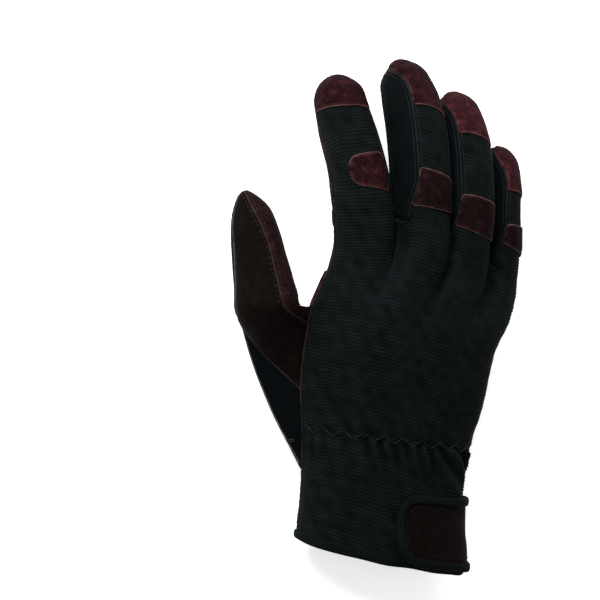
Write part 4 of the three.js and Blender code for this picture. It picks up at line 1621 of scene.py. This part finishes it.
@dataclass(frozen=True)
class ThumbPanel:
    """One of the thumb's three panels, from the hole in the palm to the tip."""

    name: str
    node: str
    first: int
    last: int
    proud: float
    slot: Slot
    columns: int = 6
    root_length: float = 34.0
    crotch: tuple[float, float, float] = (-47.0, 128.0, 20.0)

    def build(self, seams: Seams, finish: bpy.types.Material) -> None:
        """The root's rows and the tube's rows, tip first, with sine folds in a bell round the crotch.

        Args:
            seams: the skin's seams.
            finish: its leather or cloth.
        """
        station = np.linspace(self.first, self.last, (self.last - self.first) * self.columns + 1)[None]
        share = spaced(self.root_length, 0.8)[:, None]
        body = np.arange(0.8, THUMB.length - THUMB.tip, 0.9)
        tip = THUMB.length - THUMB.tip * (1 - np.sin(np.linspace(0, np.pi / 2, 18)))
        s = np.concatenate([body, tip])[:, None]
        points = np.vstack([THUMB_SEAMS.root(share, station), THUMB_SEAMS.tube(s, station)])[::-1]
        along = np.vstack([share * self.root_length, self.root_length + s])[::-1]
        sheet = Sheet.of([Patch.of(points, along=along, across=station * 3.2)])
        p = sheet.points
        distance, seam_along = nearest(p, seams.round_thumb())
        crotch = bell(np.linalg.norm(p - np.array(self.crotch), axis=1), 15)
        folds = np.sin(2 * np.pi * (p[:, 0] * 0.75 + p[:, 1] * 0.55 + 1.5 * ripple(p, 14.0, 21)) / 5.6)
        height = self.proud + 0.15 * ripple(p, 15.0, 22) + 0.4 * crotch * folds * smooth_step(distance / 4)
        height = height + THUMB_RELIEF.at(distance, seam_along)
        marks = dict(sheet.marks, edge=np.minimum(distance, EDGE_REACH), crown=np.clip(height, 0, 1))
        Workshop.piece(f"thumb_{self.name}", sheet.lined(height, marks), finish, self.slot, self.node)


@dataclass
class Laid:
    """A piece laid on the skin: places and outward directions in rows, thickness and a rounded edge."""

    points: Grid
    normals: Grid
    gap: float
    thickness: float
    seed: int
    edge_roll: float = 1.3

    def row(self, index: int, height: float) -> Line:
        """A row of the piece as a line at a height over the skin."""
        return Line(self.points[index] + self.normals[index] * height, self.normals[index])

    def closed(self) -> Sheet:
        """Top, rim and underside as one closed skin. The top rounds down to its edge by a quarter circle,
        waves a little, puckers, and sinks by a bell where it is stitched.

        Returns:
            The skin, marked with the distance from the edge and the height.
        """
        rows, columns = self.points.shape[:2]
        border = np.concatenate([self.points[0], self.points[-1], self.points[:, 0], self.points[:, -1]])
        flat, normals = self.points.reshape(-1, 3), self.normals.reshape(-1, 3)
        count = len(flat)
        blocks = np.array_split(flat, count // 2000 + 1)
        distance = np.concatenate([np.linalg.norm(b[:, None] - border, axis=-1).min(1) for b in blocks])
        rounded = np.sqrt(1 - (1 - np.clip(distance / self.edge_roll, 0, 1)) ** 2)
        waves = 0.12 * ripple(flat, 11.0, self.seed) + 0.05 * ripple(flat, 4.0, self.seed + 1)
        top = self.gap + self.thickness * (0.25 + 0.75 * rounded) + waves * rounded
        top = top + 0.07 * bell(distance - 1.5, 1.0) * np.cos(flat @ np.array([2.2, 1.6, 1.1]))
        top = top - 0.22 * bell(distance - 1.7, 0.45)
        upper, lower = flat + normals * top[:, None], flat - normals * 0.35
        upper[:, 2] = np.maximum(upper[:, 2], LOWEST)
        lower[:, 2] = np.maximum(lower[:, 2], 0.3)
        index = np.arange(count).reshape(rows, columns)
        ring = np.concatenate([index[0, :-1], index[:-1, -1], index[-1, :0:-1], index[:0:-1, 0]])
        after = np.roll(ring, -1)
        rim = np.stack([after, ring, ring + count, after + count], -1)
        points = np.vstack([upper, lower])
        faces = np.vstack([grid_faces(index), grid_faces(index + count)[:, ::-1], rim])
        first, corners = welded(points, faces)
        under = np.zeros(count)
        edge, crown = np.concatenate([distance, under]), np.concatenate([top - self.gap, under])
        return Sheet(points[first], corners, {"edge": edge[first], "crown": np.clip(crown[first], 0, 1)})

    def build(self, name: str, finish: bpy.types.Material, slot: Slot, node: str) -> None:
        """Makes the piece."""
        Workshop.piece(name, self.closed(), finish, slot, node)


@dataclass(frozen=True)
class Cap:
    """A leather cap over a fingertip's back, from seam to seam."""

    finger: Finger
    thumb_end: float
    little_end: float
    last_angle: float | None = None
    arch: float = 1.2
    beside_seam: float = 2.5
    before_tip: float = 0.004

    def laid(self) -> Laid:
        """Rows from the arched lower edge to the tip, closer together there by a sine.

        Returns:
            The cap.
        """
        k = np.linspace(0, 1, 56)[:, None]
        q = np.linspace(0, 1, 56)[None]
        start = mixed(self.thumb_end, self.little_end, q) + self.arch * 4 * q * (1 - q)
        end = self.finger.digit.length - self.before_tip
        s = mixed(start, end, np.sin(k * np.pi / 2) * 0.85 + k * 0.15)
        first, last = self.finger.span(Side.BACK, s)
        last = last if self.last_angle is None else self.last_angle
        angle = mixed(first - self.beside_seam, last + self.beside_seam, q)
        return laid_on(self.finger.digit.on_row, s, angle, 31)


@dataclass(frozen=True)
class KnucklePatch:
    """A leather patch over a finger's knuckle: both ends are given on the thumb and little sides."""

    finger: Finger
    top: tuple[float, float]
    bottom: tuple[float, float]
    first_angle: float | None = None
    last_angle: float | None = None
    corner: float = 0.1
    sharpness: float = 5.0

    def ends(self, q: Grid) -> Grid:
        """Share of the full length left at q: a power curve that rounds the corners.

        Args:
            q: the way across, 0 to 1.

        Returns:
            The shares.
        """
        thumb, little = np.clip(1 - q / self.corner, 0, 1), np.clip(1 - (1 - q) / 0.08, 0, 1)
        into = np.maximum(thumb**self.sharpness, little**6)
        return np.maximum(1 - into, 0.0004) ** (1 / self.sharpness)

    def laid(self) -> Laid:
        """Rows from the lower to the upper edge, both arched by a parabola.

        Returns:
            The patch.
        """
        k = np.linspace(0, 1, 42)[:, None]
        turn = np.linspace(0, 1, 52)[None]
        q = (0.5 - 0.5 * np.cos(np.pi * turn)) * 0.4 + turn * 0.6
        arch = 4 * q * (1 - q)
        top, bottom = mixed(*self.top, q) + 0.9 * arch, mixed(*self.bottom, q) + 0.2 * arch
        s = (top + bottom) / 2 + (top - bottom) / 2 * self.ends(q) * (2 * k - 1)
        first, last = self.finger.span(Side.BACK, s)
        first = first - 2.0 if self.first_angle is None else self.first_angle
        last = last + 2.0 if self.last_angle is None else self.last_angle
        return laid_on(self.finger.digit.on_row, s, mixed(first, last, q), 41)


def laid_on(surface: Surface, a: Grid, b: Grid, seed: int) -> Laid:
    """A thin piece of leather on a surface, between its two parameters."""
    a, b = spread(a, b)
    return Laid(surface(a, b), outward(surface, a, b), 0.3, 0.8, seed)


CAPS = (
    Cap(INDEX, 55.0, 49.5),
    Cap(MIDDLE, 53.6, 50.3),
    Cap(RING, 50.6, 47.4),
    Cap(LITTLE, 37.4, 35.6, 14.0),
)
KNUCKLES = (
    KnucklePatch(
        INDEX, (27.2, 27.8), (16.8, 12.2), first_angle=128.0, last_angle=54.0, corner=0.24, sharpness=1.7
    ),
    KnucklePatch(MIDDLE, (26.4, 22.4), (8.2, 9.4)),
    KnucklePatch(RING, (22.8, 22.2), (8.2, 7.4)),
    KnucklePatch(LITTLE, (21.4, 21.2), (12.4, 8.8), last_angle=20.0),
)


@dataclass(frozen=True)
class PalmPatch:
    """The second layer of leather on the palm."""

    bottom: float = 0.5
    top: float = 0.82
    rise: float = 0.06
    margin: float = 0.012

    def laid(self) -> Laid:
        """Rows from the bottom to a top edge that rises to the little finger, over the palm's strips.

        Returns:
            The layer.
        """
        columns, _, surfaces = zip(*HAND.strips(Side.PALM))
        borders = np.cumsum([0, *columns]) / sum(columns)
        q = np.linspace(self.margin, 1 - self.margin, 100)
        k = np.linspace(0, 1, 90)[:, None]
        parts = []
        for surface, begin, end in zip(surfaces, borders[:-1], borders[1:]):
            inside = q[(q >= begin) & (q < end)]
            height = mixed(self.bottom, self.top + self.rise * inside, k)
            v, share = spread(height, (inside - begin) / (end - begin))
            parts.append((surface(v, share), outward(surface, v, share)))
        points, normals = (np.concatenate(part, 1)[:, ::-1] for part in zip(*parts))
        return Laid(points, facing(normals, np.array([0.0, 0.0, -1.0])), 0.62, 0.7, 51)


@dataclass(frozen=True)
class CrotchPatch:
    """The rounded tongue of leather over the thumb's crotch."""

    middle: float = 15.5
    half: float = 1.7
    start: float = 0.4
    end: float = 0.8

    def laid(self) -> Laid:
        """Rows across the tongue, each reaching down by sqrt(1 - x^2).

        Returns:
            The tongue.
        """
        across = np.sin(np.linspace(-0.5, 0.5, 44) * np.pi)[:, None]
        reach = np.sqrt(np.maximum(1 - across**2, 0.0004))
        share = mixed(self.end, mixed(self.end, self.start, reach), np.linspace(0, 1, 30)[None])
        share, station = spread(share, self.middle + across * self.half)
        points = THUMB_SEAMS.root(share, station)
        normals = facing(outward(THUMB_SEAMS.root, share, station), points - THUMB.centre(0.0))
        return Laid(points[::-1], normals[::-1], 0.85, 0.95, 61)


@dataclass(frozen=True)
class Cuff:
    """The bound hem, the strap over the little-finger side and its binding."""

    tab_length: float = 72.0
    tab_half: float = 14.0
    tab_middle: float = 0.094
    tab_tip: float = 90.0
    squareness: float = 2.6
    per_height: float = 150.0
    hem_depth: float = 4.2
    hem_rings: int = 240
    tape: float = 2.2
    flatness: float = 0.62

    @cached_property
    def way(self) -> tuple[Grid, Grid]:
        """Distance walked round the wrist from the tab's round end, and the angle at each."""
        angles = self.tab_tip - 0.5 * np.arange(0, 400)
        return walked(HAND.wrist(self.tab_middle, angles)), angles

    def on_tab(self, distance: Grid, height: Grid) -> Grid:
        """A point under the tab."""
        return HAND.wrist(self.tab_middle + height / self.per_height, np.interp(distance, *self.way))

    def half(self, distance: Grid, inset: float) -> Grid:
        """Half the tab's height, drawn in at the round end by a power curve.

        Args:
            distance: millimetres from the round end.
            inset: how far inside the tab's edge.

        Returns:
            Millimetres.
        """
        radius = self.tab_half - inset
        into = np.clip(1 - (distance - inset) / radius, 0, 1)
        return radius * np.maximum(1 - into**self.squareness, 1e-5) ** (1 / self.squareness)

    def over(self, distance: Grid, height: Grid) -> tuple[Grid, Grid]:
        """Places of the tab: over the wrist, and higher at its lower edge, where it climbs over the hem.

        Args:
            distance: millimetres from the round end.
            height: millimetres from the tab's middle.

        Returns:
            Points and outward directions.
        """
        distance, height = spread(distance, height)
        points = self.on_tab(distance, height)
        middle = HAND.wrist(self.tab_middle, np.linspace(0, 360, 60)).mean(0)
        normals = facing(outward(self.on_tab, distance, height), points - middle)
        lift = mixed(1.9, 0.9, smooth_step((height + self.tab_half * 0.7) / self.tab_half))
        return points + normals * lift[..., None], normals

    def outline(self, inset: float) -> Line:
        """A closed line at an inset from the tab's edge.

        Args:
            inset: millimetres.

        Returns:
            The line.
        """
        end = self.tab_length - inset
        distance = mixed(inset, end, np.linspace(0, 1, 160) ** 1.6)
        half = self.half(distance, inset)
        far = half[-1] * np.linspace(1, -1, 30)[1:-1]
        there = np.concatenate([distance, np.full(28, end), distance[::-1]])
        return Line(*self.over(there, np.concatenate([half, far, -half[::-1]]))).evened(0.7)

    def build_hem(self, finish: bpy.types.Material) -> None:
        """A fold swept round the wrist's edge: two faces swollen by powers of a sine and a half round.

        Args:
            finish: binding cloth.
        """
        angle = np.linspace(0, 360, self.hem_rings, endpoint=False)
        edge = HAND.wrist(0.0, angle)
        up = unit(HAND.wrist(5 / self.per_height, angle) - edge)
        out = outward(HAND.wrist, np.zeros_like(angle), angle)
        fold = np.linspace(0, 1, 15)
        swell = np.sin(np.pi * fold) ** 0.45
        turn = np.linspace(0, np.pi, 9)[1:-1]
        outer = np.stack([0.35 + 0.9 * swell, self.hem_depth - 1.0 - self.hem_depth * fold], -1)
        bottom = np.stack([-0.65 + 1.0 * np.cos(turn), -1.0 - 0.5 * np.sin(turn)], -1)
        inner = np.stack([-1.65 - 0.8 * swell, -1.0 + self.hem_depth * fold], -1)
        across, along = np.vstack([outer, bottom, inner]).T
        stitched = np.sin(2 * np.pi * np.arange(self.hem_rings) / self.hem_rings * 75)
        wave = (0.14 * ripple(edge, 16.0, 71) + 0.05 * stitched)[:, None]
        drop = 0.25 * ripple(edge, 22.0, 72)[:, None]
        rings = (
            edge[:, None]
            + out[:, None] * (across + wave * np.sign(across + 0.65))[..., None]
            + up[:, None] * (along + drop)[..., None]
        )
        tape = Sheet.looped(rings, walked(edge), 0.45 * np.arange(1, len(across) + 1))
        tape.faces = tape.faces[:, ::-1]
        Workshop.piece("hem_tape", tape, finish, Slot.BINDING, "hem_binding")

    def build_tab(self, leather: bpy.types.Material, cloth: bpy.types.Material) -> None:
        """The tab's leather, and the padded binding round it as a soft flattened ring.

        Args:
            leather: the tab's finish.
            cloth: the binding's.
        """
        inset = 2.6
        distance = mixed(inset, self.tab_length - 0.8, np.linspace(0, 1, 130)[:, None] ** 1.5)
        points, normals = self.over(distance, self.half(distance, inset) * np.linspace(-1, 1, 44)[None])
        tab = Laid(points[::-1], normals[::-1], 0.0, 1.1, 81, 0.8)
        tab.build("tab_leather", leather, Slot.BROWN, "wrist_tab")
        line = self.outline(1.75)
        points, up = line.points[:-1], line.normals[:-1]
        side = unit(np.cross(up, unit(np.roll(points, -1, 0) - np.roll(points, 1, 0))))
        turn = np.linspace(0, 360, 20, endpoint=False)
        across, above = rounded_section(turn, 2.5)
        puff = 1 + 0.07 * ripple(points, 9.0, 91)[:, None] + 0.03 * ripple(points, 4.0, 92)[:, None]
        rings = (
            (points + up * 1.05)[:, None]
            + side[:, None] * (self.tape * across * puff)[..., None]
            + up[:, None] * (self.tape * self.flatness * above * puff)[..., None]
        )
        ring = Sheet.looped(rings, walked(points), np.radians(turn) * self.tape)
        Workshop.piece("tab_tape", ring, cloth, Slot.BINDING, "tab_binding")


@dataclass(frozen=True)
class Trim:
    """Seam cords, cut edges and rows of stitches. Each cord gives its line, height, radius and flatness."""

    seams: Seams
    cuff: Cuff

    def piping(self, finish: bpy.types.Material) -> None:
        """Thin ridges where two panels are sewn face to face.

        Args:
            finish: its thread.
        """
        work = Threadwork()
        for line in (line for pair in self.seams.gussets.values() for line in pair):
            work.cord(line.raised(-0.05), 0.62, 0.9)
            for sideways in (-1.6, 1.6):
                work.cord(line.cut(0.04, 0.9).raised(0.05).shifted(sideways), 0.3, 0.7)
        work.cords((self.seams.little_side, -0.15, 0.5, 0.8))
        work.cords(*((line, -0.2, 0.5, 1.0) for line in self.seams.crotches.values()))
        work.finish("seam_piping", finish, Slot.SMOOTH)

    def leather_seams(self, finish: bpy.types.Material) -> None:
        """Rubbed leather edges along the index finger, the thumb and the palm.

        Args:
            finish: their leather.
        """
        work, seams = Threadwork(), self.seams
        work.cords(
            (seams.index_side, 0.0, 0.42, 0.8),
            (seams.thumb[5], -0.1, 0.42, 0.8),
            (seams.thumb[13], 0.05, 0.5, 0.8),
            (seams.thumb[1], -0.1, 0.45, 0.8),
            (seams.hole_back.cut(0.0, 0.62), 0.0, 0.5, 0.9),
            (seams.hole_back.cut(0.62, 1.0), -0.1, 0.4, 0.9),
            (seams.thenar, -0.1, 0.45, 0.8),
            (seams.thumb_side_wrist, -0.05, 0.45, 0.9),
        )
        work.finish("leather_seam_edges", finish, Slot.PALM)

    def outline_seam(self, finish: bpy.types.Material) -> None:
        """The pale cord along the thumb's edge: a seam cord whose pale colour is partly a painted highlight
        along the thumb's outline.

        Args:
            finish: its thread.
        """
        work = Threadwork()
        work.cords((self.seams.thumb_outline, -0.2, 0.45, 0.9))
        work.finish("thumb_outline_seam", finish, Slot.SMOOTH)

    def gather_stitches(self, finish: bpy.types.Material) -> None:
        """The zigzag that holds the elastic across the wrist.

        Args:
            finish: its thread.
        """
        work = Threadwork()
        line = line_on(HAND.wrist, GATHER_LINE, np.linspace(172, 8, 160)).raised(0.2)
        work.zigzag(line, GATHER_PITCH, 1.9, 0.27)
        work.finish("gather_stitches", finish, Slot.RIBBED)

    def cut_edges(self, finish: bpy.types.Material) -> None:
        """Pale cut edges on the knuckle patches and the caps: partly the raw edge's paler tone, partly a
        painted highlight where the edge catches light.

        Args:
            finish: their leather.
        """
        work = Threadwork()
        for patch in KNUCKLES:
            laid = patch.laid()
            work.cord(laid.row(-1, 0.8).cut(0.08, 0.98), 0.34, 0.8)
            work.cord(laid.row(0, 0.6).cut(0.08, 0.98), 0.2, 0.8)
        for cap in CAPS:
            work.cord(cap.laid().row(0, 0.7).cut(0.03, 0.97), 0.26, 0.8)
        work.finish("cut_edges", finish, Slot.RED)

    def red_stitches(self, finish: bpy.types.Material) -> None:
        """Rows that hold the caps, the knuckle patches and the palm's second layer.

        Args:
            finish: their thread.
        """
        work = Threadwork()
        for patch in KNUCKLES:
            laid = patch.laid()
            for index in (4, -5):
                work.row(laid.row(index, 0.95).cut(0.08, 0.94), 2.4, 0.7, 0.15)
        for cap in CAPS:
            work.row(cap.laid().row(3, 0.95).cut(0.04, 0.96), 2.4, 0.7, 0.15)
        layer = PalmPatch().laid()
        for index in (1, -2):
            work.row(layer.row(index, 1.15), 2.6, 0.7, 0.18)
        work.finish("red_stitches", finish, Slot.RED)

    def pale_stitches(self, finish: bpy.types.Material) -> None:
        """Rows on the thumb, small tacks at the crotches and the bar at the end of the side panel.

        Args:
            finish: their thread.
        """
        work = Threadwork()
        for sideways in (-1.7, 1.7):
            work.row(self.seams.thumb[1].cut(0.3, 0.97).raised(0.45).shifted(sideways), 2.6, 0.66, 0.16)
        for line in self.seams.crotches.values():
            for sideways in (-1.2, 0.2, 1.6):
                work.row(line.cut(0.1, 0.9).raised(0.35).shifted(sideways), 1.6, 0.7, 0.2)
        work.row(self.seams.thenar.raised(0.4).shifted(-2.0), 2.6, 0.68, 0.17)
        bar = line_on(THUMB_SEAMS.root, np.linspace(0.18, 0.07, 20), np.linspace(9.85, 8.75, 20)).raised(0.5)
        for sideways in (-0.45, 0.45):
            work.cord(bar.shifted(sideways), 0.3, 0.8)
        work.finish("pale_stitches", finish, Slot.PALM)

    def dark_stitches(self, finish: bpy.types.Material) -> None:
        """Rows through the hem's tape and the tab's.

        Args:
            finish: their thread.
        """
        work = Threadwork()
        hem = line_on(HAND.wrist, 2.5 / self.cuff.per_height, np.linspace(0, 359.9, 400))
        work.row(hem.raised(1.25), 2.5, 0.7, 0.17)
        work.row(self.cuff.outline(4.9).raised(1.05), 2.5, 0.7, 0.17)
        work.finish("dark_stitches", finish, Slot.BINDING)


@dataclass(frozen=True)
class Studio:
    """Camera, floor and lamps."""

    tilt: float = 22.0
    lean: float = 6.0
    middle: tuple[float, float, float] = (9.907, -1.243, 20.0)
    aim_left: float = 48.7
    aim_up: float = 6.9
    away: float = 1400.0
    lens: float = 173.2
    floor_half: float = 3.0
    glow: float = 0.5

    @staticmethod
    def stand(thing: bpy.types.Object, up: Grid, back: Grid, at: Grid) -> None:
        """Puts a camera or lamp in the scene.

        Args:
            thing: its object.
            up: the way that is roughly up in its view.
            back: the way away from what it faces.
            at: its place in metres.
        """
        across = unit(np.cross(up, back))
        matrix = np.eye(4)
        matrix[:3, :3] = np.stack([across, np.cross(back, across), back], 1)
        matrix[:3, 3] = at
        thing.matrix_world = Matrix(matrix)
        bpy.context.scene.collection.objects.link(thing)

    def camera(self) -> None:
        """Looks down on the glove from the thumb's side, with a long lens."""
        t, n = math.radians(self.tilt), math.radians(self.lean)
        right = np.array([math.cos(t), 0, math.sin(t)])
        back = np.array([-math.sin(t) * math.cos(n), math.sin(n), math.cos(t) * math.cos(n)])
        up = np.cross(back, right)
        at = np.array(self.middle) + back * self.away
        aim = np.array(self.middle) - right * self.aim_left + up * self.aim_up
        data = bpy.data.cameras.new("camera")
        data.lens = self.lens
        data.sensor_width = 36.0
        data.clip_end = 20.0
        camera = bpy.data.objects.new("camera", data)
        self.stand(camera, up, unit(at - aim), at * MILLIMETRE)
        bpy.context.scene.camera = camera

    def lamp(self, name: str, size: float, power: float, at: Sequence[float]) -> None:
        """A square soft light that shines at the glove.

        Args:
            name: its name.
            size: its side in metres.
            power: watts.
            at: its place in metres.
        """
        data = bpy.data.lights.new(name, "AREA")
        data.shape = "SQUARE"
        data.size = size
        data.energy = power
        place = np.array(at, float)
        self.stand(bpy.data.objects.new(name, data), np.array([0.0, 1.0, 0.01]), unit(place), place)

    def floor(self) -> None:
        """A pale floor."""
        glow = {"Emission Color": (1.0, 1.0, 1.0, 1.0), "Emission Strength": self.glow}
        recipe = Recipe("pale_floor", {"Specular IOR Level": 0.2, **glow})
        tone = recipe.noise(60.0, 2.0)
        colour = recipe.blend(tone, (250, 250, 250), (252, 252, 252))
        mesh = bpy.data.meshes.new("floor")
        size = self.floor_half
        corners = [(-size, -size, 0), (size, -size, 0), (size, size, 0), (-size, size, 0)]
        mesh.from_pydata(corners, [], [(0, 1, 2, 3)])
        mesh.materials.append(recipe.dress(colour, tone * 0.1 + 0.8, tone, 0.01))
        floor = bpy.data.objects.new("floor", mesh)
        bpy.context.scene.collection.objects.link(floor)

    def world(self) -> None:
        """A pale even sky."""
        world = bpy.data.worlds.new("sky")
        world.use_nodes = True
        sky = world.node_tree.nodes["Background"]
        sky.inputs["Color"].default_value = (1.0, 1.0, 1.0, 1.0)
        sky.inputs["Strength"].default_value = self.glow
        bpy.context.scene.world = world

    def build(self) -> None:
        """Sets up the picture."""
        self.camera()
        self.lamp("upper_left", 0.35, 12.0, (-0.4, 0.5, 0.58))
        self.lamp("fingertips", 0.5, 6.0, (0.15, 0.9, 0.5))
        self.floor()
        self.world()
        bpy.context.scene.view_settings.view_transform = "Standard"


CLOTHS = (
    StretchCloth("ribbed_cloth", (1, 2, 2), (16, 21, 22), ribbed=True),
    StretchCloth("smooth_cloth", (1, 3, 4), (6, 9, 10)),
    StretchCloth("binding_cloth", (3, 5, 6), (11, 16, 17)),
)
LEATHERS = (
    SplitLeather("palm_leather", (9, 4, 4), (27, 14, 14), (46, 27, 26)),
    SplitLeather("red_leather", (10, 3, 4), (34, 13, 16), (66, 36, 38)),
    # The pale red leather is a lit copy of the red leather: partly a paler tone, partly a painted highlight on
    # the ring and little caps.
    SplitLeather("pale_red_leather", (15, 5, 7), (46, 18, 21), (78, 42, 45)),
    # The dark red leather is a shaded copy of the red leather: partly a darker tone, partly painted shade on
    # the middle, ring and little knuckle patches.
    SplitLeather("dark_red_leather", (7, 3, 3), (22, 10, 11), (44, 26, 27)),
    SplitLeather("brown_leather", (5, 3, 2), (12, 8, 7), (24, 16, 15)),
)
THREADS = (
    (Trim.piping, Thread("piping", (4, 7, 8), (15, 20, 22))),
    (Trim.leather_seams, Thread("leather_edge", (18, 12, 12), (42, 31, 30))),
    # The thumb outline's pale thread is partly a painted highlight along the outline.
    (Trim.outline_seam, Thread("pale_edge", (30, 29, 29), (70, 68, 67))),
    (Trim.gather_stitches, Thread("gather_thread", (8, 8, 8), (34, 32, 31))),
    # The cut edges' pale thread is partly the raw edge's tone and partly a painted highlight.
    (Trim.cut_edges, Thread("cut_edge", (34, 18, 19), (82, 56, 52))),
    (Trim.red_stitches, Thread("red_thread", (16, 9, 10), (36, 22, 23))),
    (Trim.pale_stitches, Thread("pale_thread", (22, 18, 17), (46, 40, 38))),
    (Trim.dark_stitches, Thread("dark_thread", (4, 6, 7), (18, 23, 24))),
)


def main() -> None:
    """Builds the glove piece by piece."""
    logging.basicConfig(level=logging.INFO, format="%(message)s")
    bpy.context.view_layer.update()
    seams = Seams()
    ribbed, smooth, binding = (cloth.material() for cloth in CLOTHS)
    palm, red, pale_lit_red, dark_shaded_red, brown = (leather.material() for leather in LEATHERS)
    Back(seams).build(ribbed)
    Palm(seams).build(palm)
    for left, right in PAIRS:
        Gusset(left, right).build(seams, smooth)
    ThumbPanel("leaf", "thumb_back", 1, 5, 0.3, Slot.BROWN, columns=7).build(seams, brown)
    ThumbPanel("side", "thumb_side", 5, 13, 0.05, Slot.SMOOTH).build(seams, smooth)
    ThumbPanel("front", "thumb_front", 13, 21, 0.35, Slot.PALM).build(seams, palm)
    for cap in CAPS:
        # Ring and little caps get the paler red leather, which is partly a painted highlight.
        name, finish = cap.finger.digit.name, pale_lit_red if cap.finger in (RING, LITTLE) else red
        cap.laid().build(f"cap_{name}", finish, Slot.RED, f"tip_cap_{name}")
    for patch in KNUCKLES:
        # Knuckle patches other than the index's get the darker red leather, which is partly painted shade.
        name, finish = patch.finger.digit.name, red if patch.finger.first else dark_shaded_red
        patch.laid().build(f"knuckle_{name}", finish, Slot.RED, f"knuckle_patch_{name}")
    PalmPatch().laid().build("palm_second_layer", red, Slot.RED, "palm_patch")
    CrotchPatch().laid().build("thumb_crotch", red, Slot.RED, "thumb_crotch_patch")
    cuff = Cuff()
    cuff.build_hem(binding)
    cuff.build_tab(brown, binding)
    for sew, thread in THREADS:
        sew(Trim(seams, cuff), thread.material())
    Studio().build()


if __name__ == "__main__":
    main()
